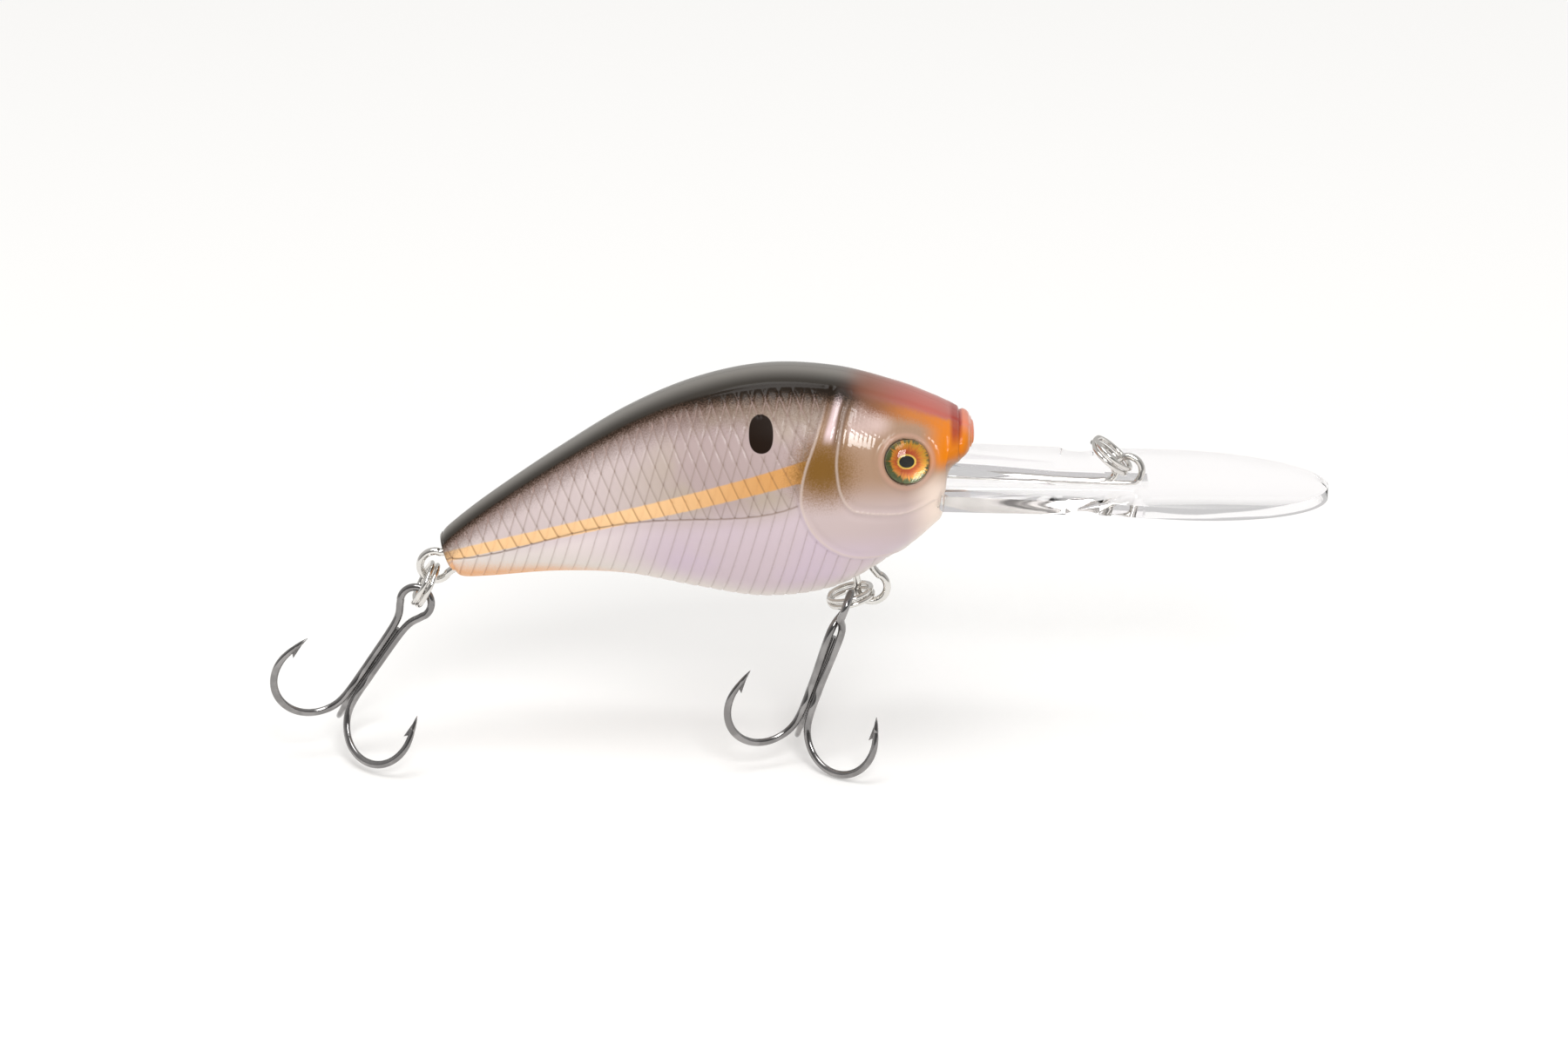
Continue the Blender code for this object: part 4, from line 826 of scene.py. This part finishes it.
def metal(name, tone, roughness, wear):
    """Bare or plated metal with fine drawing marks along it, and duller where the marks are deep."""
    material = bpy.data.materials.new(name)
    material.use_nodes = True
    tree = material.node_tree
    where = add_node(tree, "ShaderNodeTexCoord", {}).outputs["Object"]
    marks, patches = noise(tree, where, 2600.0, 4.0), noise(tree, where, 420.0, 2.0)
    shader = tree.nodes["Principled BSDF"]
    worn = tuple(min(1.0, c * wear) for c in tone)
    tree.links.new(spray(tree, tone, worn, fade(tree, patches, 0.42, 0.70)), shader.inputs["Base Color"])
    rough = {"Value": marks, "To Min": roughness * 0.7, "To Max": roughness * 1.5}
    rough = add_node(tree, "ShaderNodeMapRange", rough)
    tree.links.new(rough.outputs["Result"], shader.inputs["Roughness"])
    ripple = add_node(tree, "ShaderNodeBump", {"Height": marks, "Strength": 0.12, "Distance": 0.00003})
    tree.links.new(ripple.outputs["Normal"], shader.inputs["Normal"])
    shader.inputs["Metallic"].default_value = 1.0
    return material


stainless = metal("stainless_spring_wire", (0.70, 0.68, 0.65), 0.14, 1.12)
nickel = metal("nickel_plate", (0.70, 0.68, 0.65), 0.10, 1.1)
TIE_RADIUS, TIE_WIRE, LEG_Y, LEG_DEPTH, LEG_SETBACK = 1.75, 0.45, 0.75, 1.1, 2.0
leg_start = tang_end + LEG_SETBACK
leg = [Vector((x, -LEG_Y, lip_top(x) - LEG_DEPTH))
       for x in (leg_start, (leg_start + CHIN_X) / 2, CHIN_X, CHIN_X / 2, -3.85)]
loop = [TIE_RADIUS * in_plane(-45 + 250 * k / 16) + Vector((0, LEG_Y * (k / 8 - 1), 0)) for k in range(17)]
tie = [*leg, Vector((0.35, -LEG_Y, -1.975)), *loop, Vector((-2.19, LEG_Y, -1.575)),
       *[Vector((p.x, LEG_Y, p.z)) for p in reversed(leg)]]
tie_wire = wire_piece("line_tie_bent_wire", tie, [TIE_WIRE] * len(tie))
HANGER_LOOP, HANGER_WIRE, BELLY_RING_DROP = 1.95, 0.5, 0.4


def hanger_points(centre, lean):
    """One leg from its end, splayed out, then the loop, then the other leg."""
    away, across = in_plane(lean), in_plane(lean - 90)
    leg = [centre + across * aside + away * depth for aside, depth in ((2.2, 7.0), (1.7, 4.865), (1.2, 2.73))]
    points = list(leg)
    for k in range(17):
        turn = math.radians(48 + 264 * k / 16)
        points.append(centre + HANGER_LOOP * (away * math.cos(turn) + across * math.sin(turn)))
    for point in reversed(leg):
        points.append(point - 2 * (point - centre).dot(across) * across)
    return points


belly_loop = joints["belly_ring_swing"] + Vector((0, 0, BELLY_RING_DROP))
tail_loop = joints["tail_ring_swing"]
hangers = [wire_piece(f"{name}_hanger_bent_wire", hanger_points(centre, lean), [HANGER_WIRE] * 23)
           for name, centre, lean in (("belly", belly_loop, 115), ("tail", tail_loop, 20))]
for wire, node in zip((tie_wire, *hangers), ("line_tie_wire", "belly_hanger_wire", "tail_hanger_wire")):
    wire.data.materials.append(stainless)
    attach(wire, "lure")
    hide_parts(node)

# Split rings: nickel-plated spring wire wound twice, its coils lying on each other, its ends cut square.
RING_RADIUS, RING_WIRE, RING_PITCH, RING_TURNS, COIL_STEPS = 2.87, 0.33, 0.78, 1.93, 96
for body, node, pivot, lean in (("line_ring", "line_tie_ring", Vector(), 139),
                                ("belly_ring", "belly_split_ring", joints["belly_ring_swing"], 195),
                                ("tail_ring", "tail_split_ring", tail_loop, 243)):
    out, axis, aside = in_plane(lean), in_plane(lean + 90), Vector((0, -1, 0))
    coil = []
    for k in range(COIL_STEPS + 1):
        turn = math.tau * RING_TURNS * (k / COIL_STEPS - 0.5)
        step_up = RING_PITCH * max(-0.5, min(0.5, turn / math.radians(60)))
        coil.append(pivot + out * RING_RADIUS * (1 + math.cos(turn)) + aside * RING_RADIUS * math.sin(turn)
                    + axis * step_up)
    ring = wire_piece(f"{body}_coil", coil, [RING_WIRE] * len(coil), steps=2)
    ring.data.materials.append(nickel)
    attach(ring, body)
    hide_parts(node)

# Treble hooks: high-carbon wire, forged flat on its sides, with cut barbs and needle points. Two hooks are
# one wire that bends round the eye, the third is brazed behind them, and all are plated black nickel.
HOOK_RADIUS, EYE_LOOP, HOOK_NECK = 0.5, 2.05, 3.7
HALF_SPACING, FORK, BEND_START, FLARE = 0.55, 12.5, 15.6, math.radians(3)
BEND_RADIUS, BEND_SWEEP, POINT_LENGTH = 5.3, math.radians(197), 2.9
THIRD_OFFSET, THIRD_DIP = 1.27, math.radians(20)
HOOK_SPREAD, NECK_OPENING = math.radians(60), 0.15
FORGED_FLAT = 0.74
black_nickel = metal("black_nickel_plate", (0.25, 0.242, 0.24), 0.12, 1.35)


def hook_profile():
    """(distance down the shank, distance out) of one hook from its fork to its point."""
    bend_out = HALF_SPACING + (BEND_START - FORK) * math.tan(FLARE)
    points = [(FORK, HALF_SPACING), ((FORK + BEND_START) / 2, (HALF_SPACING + bend_out) / 2)]
    down = BEND_START - BEND_RADIUS * math.sin(FLARE)
    out = bend_out + BEND_RADIUS * math.cos(FLARE)
    for k in range(15):
        turn = FLARE + BEND_SWEEP * k / 14
        points.append((down + BEND_RADIUS * math.sin(turn), out - BEND_RADIUS * math.cos(turn)))
    tip = FLARE + BEND_SWEEP
    end_down, end_out = points[-1]
    for length in (0.35 * POINT_LENGTH, 0.7 * POINT_LENGTH, POINT_LENGTH):
        points.append((end_down + length * math.cos(tip), end_out + length * math.sin(tip)))
    return points


POINT_RADII = (0.5, 0.47, 0.42, 0.34, 0.22, 0.035)


def forge(piece, origin, down, out_way, count_from):
    """Flattens the wire of one hook across its own plane, from a little above its fork to its bend's end."""
    side_way = down.cross(out_way).normalized()
    for vertex in piece.data.vertices:
        away = vertex.co / MM - origin
        along, out = away.dot(down), away.dot(out_way)
        if along > count_from and out > 0.6:
            share = float(rise(np.array(out), 0.6, 2.0))
            vertex.co -= side_way * away.dot(side_way) * (1 - FORGED_FLAT) * share * MM


def add_barb(piece, origin, down, out_way, offset):
    """A cut sliver that stands off the inside of the wire just below the point, leaning back to the bend."""
    profile = hook_profile()
    (s0, r0), (s1, r1) = profile[-5], profile[-3]
    tangent = Vector((s1 - s0, r1 - r0)).normalized()
    inward = Vector((tangent.y, -tangent.x))
    if inward.y > 0:
        inward = -inward
    side_way = down.cross(out_way).normalized()
    middle = Vector((s1, r1 + offset))

    def spot(along, lift, aside):
        flat = middle + tangent * along + inward * lift
        return (origin + down * flat.x + out_way * flat.y + side_way * aside) * MM

    bm = bmesh.new()
    apex = bm.verts.new(spot(-1.35, 0.98, 0))
    base = [bm.verts.new(spot(*corner)) for corner in ((-0.95, 0.30, 0.17), (-0.95, 0.30, -0.17),
                                                       (1.15, 0.18, -0.07), (1.15, 0.18, 0.07))]
    bm.faces.new(base)
    for k in range(4):
        bm.faces.new((apex, base[k], base[(k + 1) % 4]))
    carve(piece, outward_object("barb", bm), "UNION")


BELLY_TREBLE_DROP = 0.6
belly_lean, tail_lean = 250.8, 236.4
belly_eye = joints["belly_treble_swing"] + BELLY_TREBLE_DROP * in_plane(belly_lean)
for name, eye_middle, lean, eye_turn in (("belly_treble", belly_eye, belly_lean, 90),
                                         ("tail_treble", joints["tail_treble_swing"], tail_lean, 0)):
    down = in_plane(lean)
    dipped = Vector((0, math.cos(THIRD_DIP), -math.sin(THIRD_DIP)))
    away = (dipped - dipped.project(down)).normalized()
    across = away.cross(down)
    turn = Matrix.Rotation(math.radians(eye_turn), 3, "Z")

    def laid(local):
        return eye_middle + across * local.x + away * local.y + down * local.z

    spread_out, spread_back = math.sin(HOOK_SPREAD), -math.cos(HOOK_SPREAD)
    half = [Vector((out * spread_out, out * spread_back, far)) for far, out in reversed(hook_profile()[1:])]
    half += [Vector((HALF_SPACING, 0, FORK)), Vector((HALF_SPACING, 0, 0.75 * FORK + 0.25 * HOOK_NECK)),
             Vector((HALF_SPACING + NECK_OPENING, 0, HOOK_NECK))]
    eye_loop = []
    for k in range(13):
        swing = math.radians(-38 + 256 * k / 12)
        eye_loop.append(turn @ Vector((EYE_LOOP * math.cos(swing), 0, -EYE_LOOP * math.sin(swing))))
    other = [Vector((-p.x, p.y, p.z)) for p in reversed(half)]
    path = [laid(p) for p in (*half, *eye_loop, *other)]
    radii = [*reversed(POINT_RADII)] + [HOOK_RADIUS] * (len(path) - 2 * len(POINT_RADII)) + [*POINT_RADII]
    double = wire_piece(f"{name}_double_wire", path, radii)
    for side in (1, -1):
        out_way = across * (side * spread_out) + away * spread_back
        forge(double, eye_middle, down, out_way, FORK)
        add_barb(double, eye_middle, down, out_way, 0.0)
    third_shift = THIRD_OFFSET - HALF_SPACING
    third_path = [laid(Vector((0, THIRD_OFFSET, far))) for far in (HOOK_NECK + 1.0, (HOOK_NECK + FORK) / 2)]
    third_path += [laid(Vector((0, out + third_shift, far))) for far, out in hook_profile()]
    radii = [HOOK_RADIUS] * (len(third_path) - len(POINT_RADII)) + [*POINT_RADII]
    third = wire_piece(f"{name}_third_wire", third_path, radii)
    forge(third, eye_middle + away * third_shift, down, away, FORK)
    add_barb(third, eye_middle, down, away, third_shift)
    for piece, node in ((double, f"{name}_double"), (third, f"{name}_third")):
        piece.data.materials.append(black_nickel)
        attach(piece, name)
        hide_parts(node)

# Inside the hollow: cast ballast in the belly and chin, and two steel balls that knock in their lanes.
ballast = metal("cast_ballast", (0.30, 0.31, 0.33), 0.5, 0.7)
ball_steel = metal("ball_bearing_steel", (0.60, 0.60, 0.60), 0.15, 1.1)
for name in ("keel_weight", "nose_weight", "rattle_ball_1", "rattle_ball_2"):
    for slot in nodes[name].material_slots:
        slot.material = ball_steel if "ball" in name else ballast
